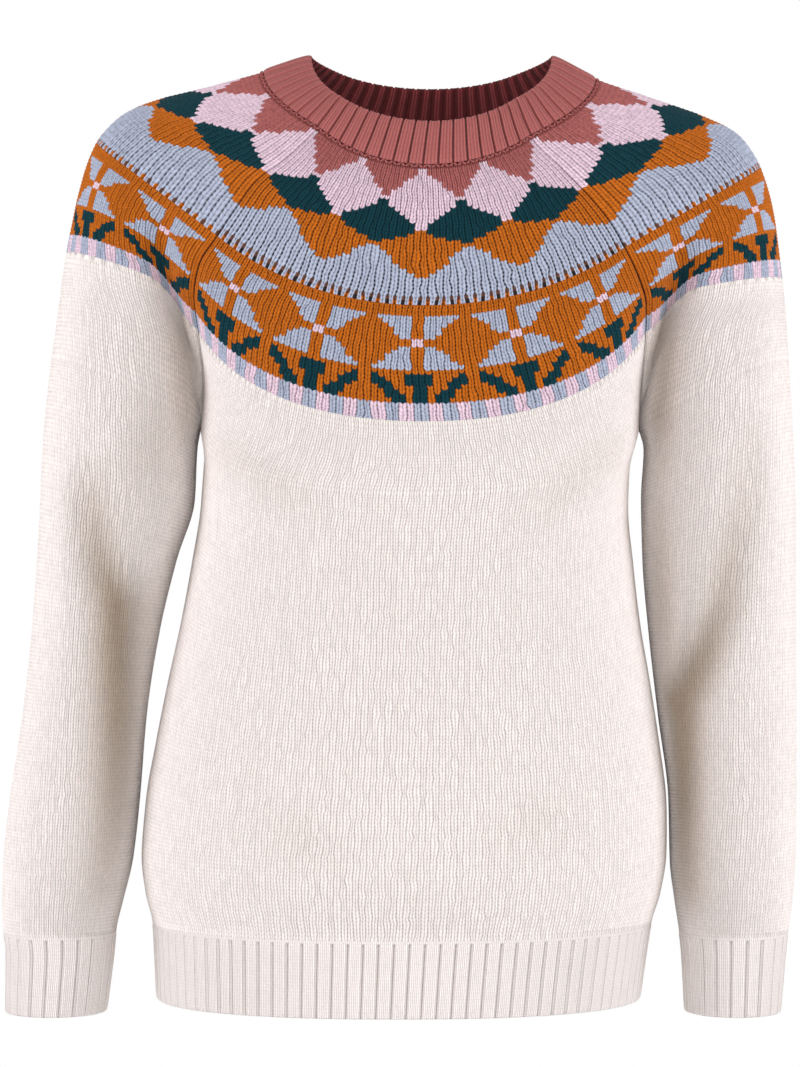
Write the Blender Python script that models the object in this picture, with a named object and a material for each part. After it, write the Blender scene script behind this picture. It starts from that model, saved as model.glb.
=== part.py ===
"""A wool pullover with a round yoke, in the hollow form that it has when it is worn.

The origin lies between the two side-neck points, where the garment is held up. X runs to the
viewer's right, the front faces -Y, and Z points up. Tables are in millimetres.
"""
import math

import bmesh
import bpy
import numpy as np

MM = 0.001
CLOTH = 2.2  # thickness of the knitted wall
SEAM_GAP = 0.3  # clear width between two joined pieces
UNDERARM_Z = -242.0
RIB_TOP_Z = -562.0
UNDERARM = 2.0  # station of the underarm; see YOKE
SAMPLES = 161  # points along half a course before it is evened out
NECK_RIBS = 64
HEM_RIBS = 47  # on each of the front and the back
CUFF_RIBS = 22

# A course is one knitted row. Its station is 0 at the neck edge, 0.145 at the foot of the
# neckband, 1 at the end of the coloured yoke, 2 at the underarm and 3 at the top of the lower
# ribs. The columns give the centre of the front and the back, the seams between body and
# sleeve, the outer line of each arm, how far each course opens (degrees) and the armpit fold.
YOKE = {
    "station": (0.0, 0.145, 0.29, 0.45, 0.56, 0.64, 0.80, 0.90, 1.0, 1.5, 2.0),
    "centre_x": (1.0, -2.0, -4.0, -4.4, -4.4, -4.4, -4.4, -4.4, -4.2, -4.6, -6.8),
    "front_y": (-57.0, -74.0, -86.0, -97.0, -103.0, -107.0, -113.0, -116.0, -119.0, -120.5, -121.0),
    "front_z": (-49.8, -79.5, -103.9, -133.0, -154.6, -169.7, -201.6, -221.7, -241.8, -264.0, -286.0),
    "back_y": (70.0, 83.0, 93.0, 100.0, 103.5, 105.3, 107.0, 107.4, 107.5, 107.0, 106.5),
    "back_z": (-13.0, -43.0, -74.0, -109.0, -134.0, -151.7, -187.6, -210.0, -233.0, -259.0, -286.0),
    "left_x": (-57.0, -71.6, -91.0, -110.2, -122.3, -134.3, -146.6, -149.7, -147.7, -145.2, -148.5),
    "left_z": (-32.0, -53.0, -73.5, -89.3, -106.3, -124.3, -144.1, -161.8, -181.5, -211.9, -242.0),
    "right_x": (54.0, 63.2, 83.0, 101.5, 113.5, 121.5, 131.5, 136.0, 136.5, 135.3, 135.0),
    "right_z": (-33.0, -58.5, -80.6, -101.0, -117.0, -131.5, -152.0, -166.0, -182.8, -211.9, -242.0),
    "seam_front_y": (-38.0, -54.5, -65.0, -73.5, -78.0, -80.0, -73.0, -62.0, -49.0, -24.0, 0.0),
    "seam_back_y": (52.0, 65.0, 73.0, 79.0, 82.0, 83.0, 76.0, 66.0, 52.0, 26.0, 0.0),
    "seam_back_up": (26.0, 29.0, 27.0, 22.0, 19.0, 16.0, 12.0, 10.0, 7.0, 3.0, 0.0),
    "body_opens": (45.0, 45.0, 45.0, 45.0, 44.0, 43.0, 51.0, 60.0, 68.0, 81.0, 90.0),
    "squareness": (1.0, 1.0, 1.0, 1.0, 1.0, 0.98, 0.95, 0.92, 0.90, 0.88, 0.87),
    "out_left_x": (-77.0, -108.0, -143.0, -179.9, -199.0, -216.5, -227.8, -232.0, -236.0, -240.5, -245.4),
    "out_left_z": (0.0, -10.2, -19.9, -29.6, -38.3, -56.5, -89.0, -108.5, -129.0, -161.0, -197.0),
    "out_right_x": (79.0, 107.4, 145.6, 181.0, 200.5, 214.5, 223.4, 226.0, 228.5, 230.8, 232.6),
    "out_right_z": (0.0, -14.6, -27.8, -40.8, -51.8, -72.5, -105.0, -124.5, -145.6, -169.0, -197.0),
    "out_y": (8.0, 7.0, 5.0, 3.0, 2.0, 2.0, 2.0, 2.0, 2.0, 3.0, 3.0),
    "arm_opens": (45.0, 45.0, 45.0, 47.0, 54.0, 62.0, 90.0, 108.0, 125.0, 150.0, 180.0),
    "arm_front": (65.0, 86.0, 100.0, 104.0, 99.0, 93.0, 75.0, 67.0, 62.0, 59.0, 58.0),
    "arm_back": (63.0, 84.0, 97.0, 104.0, 102.0, 98.0, 84.0, 76.0, 71.0, 67.0, 65.0),
    "roof_front": (1.0, 0.8, 0.55, 0.35, 0.25, 0.2, 0.1, 0.05, 0.0, 0.0, 0.0),
    "roof_back": (0.0, 0.1, 0.2, 0.2, 0.18, 0.15, 0.1, 0.05, 0.0, 0.0, 0.0),
    "lag": (1.0, 1.0, 1.0, 1.0, 1.05, 1.1, 1.35, 1.3, 1.2, 1.3, 1.4),
    "fold_at": (45.0, 45.0, 45.0, 45.0, 45.0, 42.0, 26.0, 20.0, 18.0, 17.0, 16.0),
    "fold_deep": (0.0, 0.0, 0.0, 0.0, 0.0, 2.0, 9.0, 13.0, 15.0, 9.0, 0.0),
    "fold_drop": (0.0, 0.0, 0.0, 0.0, 0.0, 0.0, 3.0, 13.0, 21.0, 22.0, 0.0),
}

# Sections of the body tube below the underarm. The middle of a course hangs lower than its
# sides by dip.
BODY = {
    "z": (
        -242.0, -255.0, -289.0, -328.0, -367.0, -406.0, -445.0, -484.0, -517.0, -543.0, -562.0, -582.0, -611.0
    ),
    "centre_x": (-6.8, -8.1, -10.1, -11.4, -12.7, -13.7, -14.6, -15.6, -16.9, -17.6, -18.2, -19.2, -20.6),
    "half": (141.7, 137.6, 138.1, 142.7, 148.5, 156.0, 162.8, 168.4, 169.7, 166.4, 161.2, 158.9, 156.2),
    "front_y": (
        -121.0, -121.0, -121.0, -120.0, -119.0, -119.0, -120.0, -122.0, -124.0, -121.0, -117.0, -115.5, -114.0
    ),
    "back_y": (106.5, 106.0, 105.0, 105.0, 106.0, 107.0, 109.0, 112.0, 116.0, 113.0, 109.0, 107.5, 106.0),
    "dip": (-44.0, -42.0, -37.0, -31.0, -25.0, -20.0, -14.0, -9.0, -4.0, -1.0, 0.0, 0.0, 0.0),
}
BODY_SQUARENESS = 0.87

# Sections of the sleeves below the underarm, to the end of the cuff.
ARM = {
    "station": (2.0, 2.043, 2.144, 2.264, 2.408, 2.571, 2.742, 2.862, 2.939, 3.0, 3.04, 3.16),
    "out_z": (
        -197.0, -212.0, -255.0, -308.0, -367.0, -426.0, -484.0, -523.0, -548.0, -568.0, -581.0, -620.0
    ),
    "in_z": (
        -242.0, -256.0, -289.0, -328.0, -375.0, -428.0, -484.0, -523.0, -548.0, -568.0, -581.0, -620.0
    ),
    "out_left_x": (
        -245.4, -247.4, -251.2, -253.6, -257.4, -263.3, -271.7, -275.6, -276.2, -275.4, -273.8, -274.2
    ),
    "in_left_x": (
        -149.4, -151.8, -153.4, -165.1, -176.2, -184.2, -188.6, -193.0, -199.0, -203.6, -204.9, -209.8
    ),
    "out_right_x": (232.6, 233.5, 235.8, 237.2, 237.0, 237.0, 236.6, 235.6, 233.6, 231.0, 229.6, 226.2),
    "in_right_x": (135.9, 139.6, 137.8, 138.6, 142.4, 148.2, 154.9, 155.6, 158.5, 161.5, 163.0, 165.1),
    "mid_y": (3.0, 3.0, 2.0, 1.0, -1.0, -4.0, -7.0, -9.0, -10.0, -10.0, -10.0, -10.0),
    "front": (58.0, 58.0, 57.0, 54.0, 51.0, 49.5, 49.0, 46.0, 42.0, 38.0, 36.0, 34.0),
    "back": (65.0, 64.0, 61.0, 56.0, 52.0, 49.5, 49.0, 46.0, 42.0, 38.0, 36.0, 34.0),
    "lag": (1.4, 1.35, 1.2, 1.1, 1.0, 1.0, 1.0, 1.0, 1.0, 1.0, 1.0, 1.0),
}

# The solids have a row of points at each of these stations, and this many cells across.
YOKE_ROWS = (
    0.1463, 0.22, 0.29, 0.38, 0.47, 0.56, 0.64, 0.72, 0.80, 0.87, 0.94, 1.02, 1.15, 1.3, 1.5, 1.75, 2.0
)
BODY_ROWS = (2.12, 2.27, 2.42, 2.57, 2.71, 2.83, 2.92, 2.999)
ARM_ROWS = (2.06, 2.14, 2.26, 2.4, 2.56, 2.72, 2.84, 2.93, 2.999)
BODY_CELLS = 16
ARM_CELLS = 26
EDGE_CROWDING = 0.6  # how strongly a sleeve's cells crowd towards its armpit folds

# The section of a ribbed band: how far down it a point lies, and how far it stands out from
# the middle of the wall. The first point of a folded neckband is its rounded top.
NECKBAND_SECTION = ((0.0, 0.1), (0.07, 1.6), (0.5, 1.9), (1.0, 1.7), (1.0, -1.4), (0.07, -1.4))
LOWER_RIB_SECTION = ((0.0, 0.9), (0.5, 1.0), (0.96, 0.9), (1.0, 0.0), (0.96, -1.2), (0.0, -1.3))
NECK_RIB_DEPTH = 1.3
LOWER_RIB_DEPTH = 1.1
RIB_EDGES = (0.0, 0.2, 0.8)  # where a rib's groove and its two shoulders lie across one repeat


def smooth(keys, values, at):
    """Reads a table's column on a smooth curve that never swings past its values."""
    keys = np.asarray(keys, float)
    values = np.asarray(values, float)
    steps = np.diff(keys)
    rises = np.diff(values) / steps
    slopes = np.concatenate([rises[:1], np.zeros(len(rises) - 1), rises[-1:]])
    steady = np.flatnonzero(rises[:-1] * rises[1:] > 0)
    before, after = steps[steady], steps[steady + 1]
    pull = (2.0 * after + before) / rises[steady] + (after + 2.0 * before) / rises[steady + 1]
    slopes[steady + 1] = 3.0 * (before + after) / pull
    at = min(max(at, keys[0]), keys[-1])
    cell = min(int(np.searchsorted(keys, at, side="right")) - 1, len(steps) - 1)
    width = steps[cell]
    f = (at - keys[cell]) / width
    rise = 3.0 * f**2 - 2.0 * f**3
    leave = slopes[cell] * width * (f**3 - 2.0 * f**2 + f)
    arrive = slopes[cell + 1] * width * (f**3 - f**2)
    return float(values[cell] + (values[cell + 1] - values[cell]) * rise + leave + arrive)


def read(table, key, at):
    """Every column of a table at one place."""
    sign = 1.0 if table[key][0] < table[key][-1] else -1.0
    keys = [sign * value for value in table[key]]
    return {name: smooth(keys, column, sign * at) for name, column in table.items()}


def fade(share):
    share = np.clip(share, 0.0, 1.0)
    return share * share * (3.0 - 2.0 * share)


def run_along(points):
    steps = np.linalg.norm(np.diff(points, axis=0), axis=1)
    return np.concatenate([[0.0], np.cumsum(steps)])


def spaced(points, shares):
    """Points along a course at shares of its length."""
    run = run_along(points)
    wanted = np.asarray(shares) * run[-1]
    return np.stack([np.interp(wanted, run, points[:, k]) for k in range(3)], axis=1)


def body_course(station, rear):
    """One course of the front or the back, from the viewer's left to the right."""
    face = "back" if rear else "front"
    if station <= UNDERARM:
        r = read(YOKE, "station", station)
        left, right = r["left_x"], r["right_x"]
        up = r["seam_back_up"] if rear else 0.0
        left_z, right_z = r["left_z"] + up, r["right_z"] + up
        middle_z, side_y = r[face + "_z"], r[f"seam_{face}_y"]
        opens, square = math.radians(r["body_opens"]), r["squareness"]
    else:
        z = UNDERARM_Z + (station - UNDERARM) * (RIB_TOP_Z - UNDERARM_Z)
        r = read(BODY, "z", z)
        left, right = r["centre_x"] - r["half"], r["centre_x"] + r["half"]
        left_z = right_z = z
        middle_z, side_y = z + r["dip"], 0.0
        opens, square = math.pi / 2, BODY_SQUARENESS
    turn = np.linspace(-opens, opens, 2 * SAMPLES - 1)
    out = np.abs(np.sin(turn)) ** square / math.sin(opens) ** square
    closing = 1.0 - max(math.cos(opens), 0.0) ** square
    bow = (1.0 - np.clip(np.cos(turn), 0.0, 1.0) ** square) / closing
    to_left = turn < 0
    x = r["centre_x"] + (np.where(to_left, left, right) - r["centre_x"]) * out
    y = r[face + "_y"] + (side_y - r[face + "_y"]) * bow
    z = middle_z + (np.where(to_left, left_z, right_z) - middle_z) * bow
    return np.stack([x, y, z], axis=1)


def arm_course(station, side):
    """One course of a sleeve, from its front edge over the outer arm to its back edge."""
    joined = station < UNDERARM
    r = read(YOKE if joined else ARM, "station", station)
    if joined:
        last = -1 if side == "right" else 0
        ends = [body_course(station, False)[last], body_course(station, True)[last]]
        top = np.array([r[f"out_{side}_x"], r["out_y"], r[f"out_{side}_z"]])
        opens = math.radians(r["arm_opens"])
        depths, roofs = (r["arm_front"], r["arm_back"]), (r["roof_front"], r["roof_back"])
        fold_at, fold_deep, fold_drop = r["fold_at"], r["fold_deep"], r["fold_drop"]
    else:
        ends = [np.array([r[f"in_{side}_x"], r["mid_y"], r["in_z"]])] * 2
        top = np.array([r[f"out_{side}_x"], r["mid_y"], r["out_z"]])
        opens = math.pi
        depths, roofs = (r["front"], r["back"]), (0.0, 0.0)
        fold_at, fold_deep, fold_drop = 16.0, 0.0, 0.0
    turn = np.linspace(0.0, opens, SAMPLES)
    bow = (1.0 - np.cos(turn)) / (1.0 - math.cos(opens))
    halves = []
    for end, depth, roof, way in zip(ends, depths, roofs, (-1.0, 1.0)):
        lean = np.sin(turn) / math.sin(opens) if roof else 0.0
        rest = end[1] - top[1] - way * depth * math.sin(opens)
        course = np.empty((SAMPLES, 3))
        course[:, 0] = top[0] + (end[0] - top[0]) * bow
        course[:, 1] = top[1] + rest * bow + way * depth * np.sin(turn)
        fall = roof * lean + (1.0 - roof) * bow ** r["lag"]
        course[:, 2] = top[2] + (end[2] + fold_drop - top[2]) * fall
        halves.append(folded(course, way, fold_at, fold_deep, fold_drop))
    front, back = halves
    return np.concatenate([front[::-1], back[1:]])


def folded(course, way, fold_at, deep, drop):
    """The armpit fold: a trough beside the seam, with the cloth falling away inside it."""
    run = run_along(course)
    off = run[-1] - run
    wide = np.where(off < fold_at, 9.0, 15.0)
    trough = np.exp(-(((off - fold_at) / wide) ** 2)) * fade(off / 8.0)
    course[:, 1] -= way * deep * trough
    course[:, 2] -= drop * (1.0 - fade(off / (1.9 * fold_at)))
    return course


PANELS = {
    # name: a course of it, the sign that turns its grid's cross product outwards
    "front": (lambda station: body_course(station, False), -1.0),
    "back": (lambda station: body_course(station, True), 1.0),
    "sleeve_left": (lambda station: arm_course(station, "left"), 1.0),
    "sleeve_right": (lambda station: arm_course(station, "right"), -1.0),
}


def facing(panel, station, shares, ring=False):
    """Outward unit normals of a panel along one course."""
    course, sign = PANELS[panel]
    across, down = 0.004, 0.006
    shares = np.asarray(shares)
    here = course(station)
    if ring:
        along = spaced(here, (shares + across) % 1.0) - spaced(here, (shares - across) % 1.0)
    else:
        beyond = spaced(here, np.minimum(shares + across, 1.0))
        along = beyond - spaced(here, np.maximum(shares - across, 0.0))
    lower = spaced(course(station + down), shares)
    upper = spaced(course(max(station - down, 0.0)), shares)
    normal = sign * np.cross(along, lower - upper)
    return normal / np.linalg.norm(normal, axis=1, keepdims=True)


def crowded(cells):
    """Shares along a sleeve's course, closer together near the armpit folds at both ends."""
    even = np.linspace(0.0, 1.0, cells + 1)
    return even - EDGE_CROWDING * np.sin(2.0 * np.pi * even) / (2.0 * np.pi)


def panel_grid(panel, rows, cells, ring_from=None):
    """The points and normals of a panel, a row for each course."""
    sleeve = panel.startswith("sleeve")
    shares = crowded(cells) if sleeve else np.linspace(0.0, 1.0, cells + 1)
    course = PANELS[panel][0]
    points = np.array([spaced(course(row), shares) for row in rows])
    normals = np.array([
        facing(panel, row, shares, ring_from is not None and row >= ring_from) for row in rows
    ])
    return points, normals


def part_seam(first, second, first_column, second_column, rows):
    """Gives two joined edges the same normals, and opens the seam gap between them."""
    for row in rows:
        seam = first[0][row, first_column].copy()
        shared = first[1][row, first_column] + second[1][row, second_column]
        shared /= np.linalg.norm(shared)
        ahead = first[0][min(row + 1, len(first[0]) - 1), first_column]
        behind = first[0][max(row - 1, 0), first_column]
        apart = np.cross(shared, ahead - behind)
        apart /= np.linalg.norm(apart)
        inner_first = first[0][row, first_column + (1 if first_column == 0 else -1)]
        inner_second = second[0][row, second_column + (1 if second_column == 0 else -1)]
        if np.dot(apart, inner_first - inner_second) < 0:
            apart = -apart
        first[0][row, first_column] = seam + apart * SEAM_GAP / 2
        second[0][row, second_column] = seam - apart * SEAM_GAP / 2
        first[1][row, first_column] = shared
        second[1][row, second_column] = shared


def wall(name, outer, inner, material, ring_from=None):
    """A closed cloth wall between two grids. Its rows are rings from row ring_from on."""
    count = len(outer)
    ring_from = count if ring_from is None else ring_from
    mesh = bmesh.new()

    def corners(grid):
        made = []
        for i, row in enumerate(grid):
            is_ring = i >= ring_from
            line = [mesh.verts.new(point * MM) for point in (row[:-1] if is_ring else row)]
            made.append(line + line[:1] if is_ring else line)
        return made

    skin, back = corners(outer), corners(inner)
    last = len(outer[0]) - 1
    for j in range(last):
        for i in range(count - 1):
            mesh.faces.new((skin[i][j], skin[i][j + 1], skin[i + 1][j + 1], skin[i + 1][j]))
            mesh.faces.new((back[i][j], back[i + 1][j], back[i + 1][j + 1], back[i][j + 1]))
        for i in (0, count - 1):
            mesh.faces.new((skin[i][j], skin[i][j + 1], back[i][j + 1], back[i][j]))
    for i in range(min(ring_from, count - 1)):
        for j in (0, last):
            mesh.faces.new((skin[i][j], skin[i + 1][j], back[i + 1][j], back[i][j]))
    return finished(name, mesh, material)


def finished(name, mesh, material):
    """Turns a bmesh into a named object with its faces outwards and smooth shading."""
    bmesh.ops.recalc_face_normals(mesh, faces=mesh.faces)
    data = bpy.data.meshes.new(name)
    mesh.to_mesh(data)
    mesh.free()
    data.shade_smooth()
    data.set_sharp_from_angle(angle=math.radians(50.0))
    data.materials.append(material)
    piece = bpy.data.objects.new(name, data)
    bpy.context.scene.collection.objects.link(piece)
    return piece


def rib_places(ribs):
    """Shares of the way along a band where its grooves and rib shoulders lie."""
    return np.array([(rib + edge) / ribs for rib in range(ribs) for edge in RIB_EDGES])


def rib_band(name, course_of, section, depth, material, closed):
    """A ribbed band: each point of its section goes round the garment, raised on the ribs."""
    mesh = bmesh.new()
    loops = []
    for down, out in section:
        points, normals = course_of(down)
        raised = np.full(len(points), out)
        if out > 0:
            grooves = np.arange(len(points)) % len(RIB_EDGES) == 0
            raised[grooves] -= depth * min(out, 1.0)
        loops.append([mesh.verts.new(p * MM) for p in points + normals * raised[:, None]])
    count = len(loops[0])
    for upper, lower in zip(loops, loops[1:] + loops[:1]):
        for j in range(count if closed else count - 1):
            k = (j + 1) % count
            mesh.faces.new((upper[j], upper[k], lower[k], lower[j]))
    if not closed:
        mesh.faces.new([loop[0] for loop in loops])
        mesh.faces.new([loop[-1] for loop in loops])
    return finished(name, mesh, material)


def neckband_course(down):
    """A ring of the neckband, as points and normals, through the four panels in turn."""
    station = 0.145 * down
    each = NECK_RIBS // 4
    places = rib_places(each)
    quarter = {}
    for panel in PANELS:
        on = 1.0 - places if panel in ("back", "sleeve_left") else places
        quarter[panel] = (spaced(PANELS[panel][0](station), on), facing(panel, station, on))
    turn = ["front", "sleeve_right", "back", "sleeve_left"]
    for k, panel in enumerate(turn):
        before = quarter[turn[k - 1]]
        edge = 0.0 if panel in ("back", "sleeve_left") else 1.0
        shared = quarter[panel][1][0] + before[1][-1]
        quarter[panel][1][0] = shared / np.linalg.norm(shared)
    return tuple(np.concatenate([quarter[panel][k] for panel in turn]) for k in (0, 1))


def cuff_course(side, down):
    station = 3.001 + down * 0.159
    places = rib_places(CUFF_RIBS)
    panel = "sleeve_" + side
    return spaced(arm_course(station, side), places), facing(panel, station, places, ring=True)


def hem_course(panel, down):
    """Half a ring of the hem rib, ending half the seam gap short of each side seam."""
    station = 3.001 + down * 0.152
    rear = panel == "back"
    course = body_course(station, rear)
    places = np.append(rib_places(HEM_RIBS), 1.0 - 0.001)
    places[0] = 0.001
    points = spaced(course, places)
    normals = facing(panel, station, places)
    return points, normals


def wool(name, colour):
    """A matt wool finish."""
    material = bpy.data.materials.new(name)
    material.use_nodes = True
    shader = material.node_tree.nodes["Principled BSDF"]
    shader.inputs["Base Color"].default_value = (*colour, 1.0)
    shader.inputs["Roughness"].default_value = 0.9
    return material


def main():
    for piece in list(bpy.data.objects):
        bpy.data.objects.remove(piece)

    cream = wool("cream_wool", (0.80, 0.74, 0.70))
    rose = wool("rose_wool", (0.38, 0.12, 0.11))

    body_rows = YOKE_ROWS + BODY_ROWS
    arm_rows = YOKE_ROWS + ARM_ROWS
    grids = {
        "front": panel_grid("front", body_rows, BODY_CELLS),
        "back": panel_grid("back", body_rows, BODY_CELLS),
        "sleeve_left": panel_grid("sleeve_left", arm_rows, ARM_CELLS, UNDERARM),
        "sleeve_right": panel_grid("sleeve_right", arm_rows, ARM_CELLS, UNDERARM),
    }
    under = len(YOKE_ROWS) - 1
    above = range(under)
    below = range(under, len(body_rows))
    for side, edge in (("left", 0), ("right", -1)):
        sleeve = grids["sleeve_" + side]
        part_seam(grids["front"], sleeve, edge, 0, above)
        part_seam(grids["back"], sleeve, edge, -1, above)
        part_seam(grids["front"], grids["back"], edge, edge, below)
        for panel, column in (("front", edge), ("back", edge), ("sleeve_" + side, 0)):
            grids[panel][1][under, column] = (0.0, 0.0, -1.0)

    for panel, (points, normals) in grids.items():
        ring_from = under if panel.startswith("sleeve") else None
        wall(panel, points, points - normals * CLOTH, cream, ring_from)

    rib_band("neckband", neckband_course, NECKBAND_SECTION, NECK_RIB_DEPTH, rose, True)
    for side in ("left", "right"):
        rib_band("cuff_" + side, lambda down, s=side: cuff_course(s, down),
                 LOWER_RIB_SECTION, LOWER_RIB_DEPTH, cream, True)
    for panel in ("front", "back"):
        rib_band("hem_rib_" + panel, lambda down, p=panel: hem_course(p, down),
                 LOWER_RIB_SECTION, LOWER_RIB_DEPTH, cream, False)


main()
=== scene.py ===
# %% [markdown]
# # A round-yoke wool pullover
# The pullover is knitted in four pieces: a front, a back and two sleeves, each with a quarter of
# the patterned yoke. Ribs are knitted on at the hem and the cuffs, and a folded rib is linked on
# round the neck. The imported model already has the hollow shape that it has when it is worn, as
# plain solids. This lesson knits a fine shell for each of them, stitch by stitch where the
# pattern is, and then ribs, creases and dyes it.

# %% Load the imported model
import math

import bpy
import numpy as np
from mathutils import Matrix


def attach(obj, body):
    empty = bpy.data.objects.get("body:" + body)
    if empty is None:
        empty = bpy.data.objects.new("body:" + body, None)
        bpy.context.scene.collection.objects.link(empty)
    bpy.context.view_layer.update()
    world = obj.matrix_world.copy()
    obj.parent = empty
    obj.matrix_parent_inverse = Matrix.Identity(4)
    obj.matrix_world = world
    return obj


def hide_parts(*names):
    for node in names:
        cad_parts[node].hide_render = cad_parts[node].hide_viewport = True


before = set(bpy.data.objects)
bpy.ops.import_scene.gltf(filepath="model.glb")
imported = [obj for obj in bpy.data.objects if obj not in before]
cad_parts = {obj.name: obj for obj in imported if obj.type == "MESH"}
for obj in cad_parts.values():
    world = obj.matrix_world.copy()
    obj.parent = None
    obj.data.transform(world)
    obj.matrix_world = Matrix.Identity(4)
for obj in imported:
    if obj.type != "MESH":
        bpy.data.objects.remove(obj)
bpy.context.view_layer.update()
MM = 0.001
print("CAD nodes:", sorted(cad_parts))

# %% [markdown]
# ## Camera, light and floor
# The photograph is taken square on from far away, with soft light from the front and a white
# ground behind. A long lens 2.2 m away gives the same flat perspective. Two big lamps stand well
# to the left and right, so the side of each sleeve that faces the body lies in shade. The lamps
# are a little cool, and the sky is dimmer and warmer in front than behind, so the shade is warm.

# %% Camera at the photograph's place
PHOTO_HEIGHT = 1067
PIXEL = 0.65  # mm of the garment's middle plane that one photo pixel covers
DISTANCE = 2200.0
SIGHT_X, SIGHT_Z = -19.5, -311.0
SENSOR = 36.0

lens_data = bpy.data.cameras.new("camera")
lens_data.sensor_width = SENSOR
lens_data.lens = SENSOR * DISTANCE / (PHOTO_HEIGHT * PIXEL)
camera = bpy.data.objects.new("camera", lens_data)
camera.location = (SIGHT_X * MM, -DISTANCE * MM, SIGHT_Z * MM)
camera.rotation_euler = (math.radians(90.0), 0.0, 0.0)
bpy.context.scene.collection.objects.link(camera)
bpy.context.scene.camera = camera
print("lens in mm:", round(lens_data.lens, 1))

# %% Soft lamps, a bright sky and a pale floor
from mathutils import Vector

LAMPS = {
    # name: place in m, size in m, power in W
    "left_lamp": ((-2.65, -1.15, 0.55), 1.6, 46.0),
    "right_lamp": ((2.65, -1.15, 0.45), 1.6, 46.5),
    "front_lamp": ((0.0, -2.9, 0.40), 1.8, 39.0),
    "back_lamp": ((0.2, 2.2, 0.9), 2.0, 24.0),
}
LAMP_AIM = Vector((-0.02, 0.0, -0.30))
LAMP_COLOUR = (0.975, 0.985, 1.08)
SKY_IN_FRONT = (0.38, 0.357, 0.320, 1.0)
SKY_BEHIND = (1.0, 1.0, 1.0, 1.0)
SKY_CHANGES = 0.2, 0.85  # the part of the way from front to back on which the sky changes
FLOOR_Z, FLOOR_RADIUS, FLOOR_CORNERS = -1.45, 4.0, 96
FLOOR_COLOUR = (0.87, 0.87, 0.87, 1.0)

for name, (place, size, power) in LAMPS.items():
    lamp_data = bpy.data.lights.new(name, "AREA")
    lamp_data.size = size
    lamp_data.energy = power
    lamp_data.color = LAMP_COLOUR
    lamp = bpy.data.objects.new(name, lamp_data)
    lamp.location = place
    lamp.rotation_euler = (LAMP_AIM - Vector(place)).to_track_quat("-Z", "Y").to_euler()
    bpy.context.scene.collection.objects.link(lamp)


def new_node(tree, kind, **values):
    """A new shader node, with some of its inputs set. Spaces in their names are written as _."""
    node = tree.nodes.new("ShaderNode" + kind)
    for socket, value in values.items():
        node.inputs[socket.replace("_", " ")].default_value = value
    return node


sky = bpy.data.worlds.new("sky")
sky.use_nodes = True
sky_tree = sky.node_tree
sky_split = new_node(sky_tree, "SeparateXYZ")
sky_range = new_node(sky_tree, "MapRange", From_Min=SKY_CHANGES[0], From_Max=SKY_CHANGES[1])
sky_range.interpolation_type = "SMOOTHSTEP"
sky_blend = new_node(sky_tree, "Mix")
sky_blend.data_type = "RGBA"
sky_blend.inputs[6].default_value = SKY_IN_FRONT
sky_blend.inputs[7].default_value = SKY_BEHIND
for output, socket in (
    (new_node(sky_tree, "TexCoord").outputs["Generated"], sky_split.inputs[0]),
    (sky_split.outputs["Y"], sky_range.inputs["Value"]),
    (sky_range.outputs["Result"], sky_blend.inputs[0]),
    (sky_blend.outputs[2], sky_tree.nodes["Background"].inputs["Color"]),
):
    sky_tree.links.new(output, socket)
bpy.context.scene.world = sky
bpy.context.scene.view_settings.view_transform = "Standard"

rim = [
    (FLOOR_RADIUS * math.cos(a), FLOOR_RADIUS * math.sin(a), FLOOR_Z)
    for a in np.linspace(0.0, 2.0 * math.pi, FLOOR_CORNERS + 1)[:-1]
]
floor_mesh = bpy.data.meshes.new("floor")
floor_mesh.from_pydata(rim, [], [tuple(range(FLOOR_CORNERS))])
floor = bpy.data.objects.new("floor", floor_mesh)
bpy.context.scene.collection.objects.link(floor)
floor_paint = bpy.data.materials.new("floor")
floor_paint.use_nodes = True
floor_shader = floor_paint.node_tree.nodes["Principled BSDF"]
floor_shader.inputs["Base Color"].default_value = FLOOR_COLOUR
floor_shader.inputs["Roughness"].default_value = 0.9
floor_mesh.materials.append(floor_paint)

print("lamps:", len(LAMPS), "floor", round(-FLOOR_Z / MM), "mm below the neck")

# %% [markdown]
# ## The form of the garment
# A course is one knitted row. Its station is 0 at the neck edge, 0.145 at the foot of the
# neckband, 1 at the end of the coloured yoke, 2 at the underarm and 3 at the top of the lower
# ribs. The tables give the place of the middle of the front and the back, of the seams between
# body and sleeves and of the outer line of the arms, how far each course opens in degrees, and
# the fold in the armpit. All lengths are in millimetres.

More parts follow.
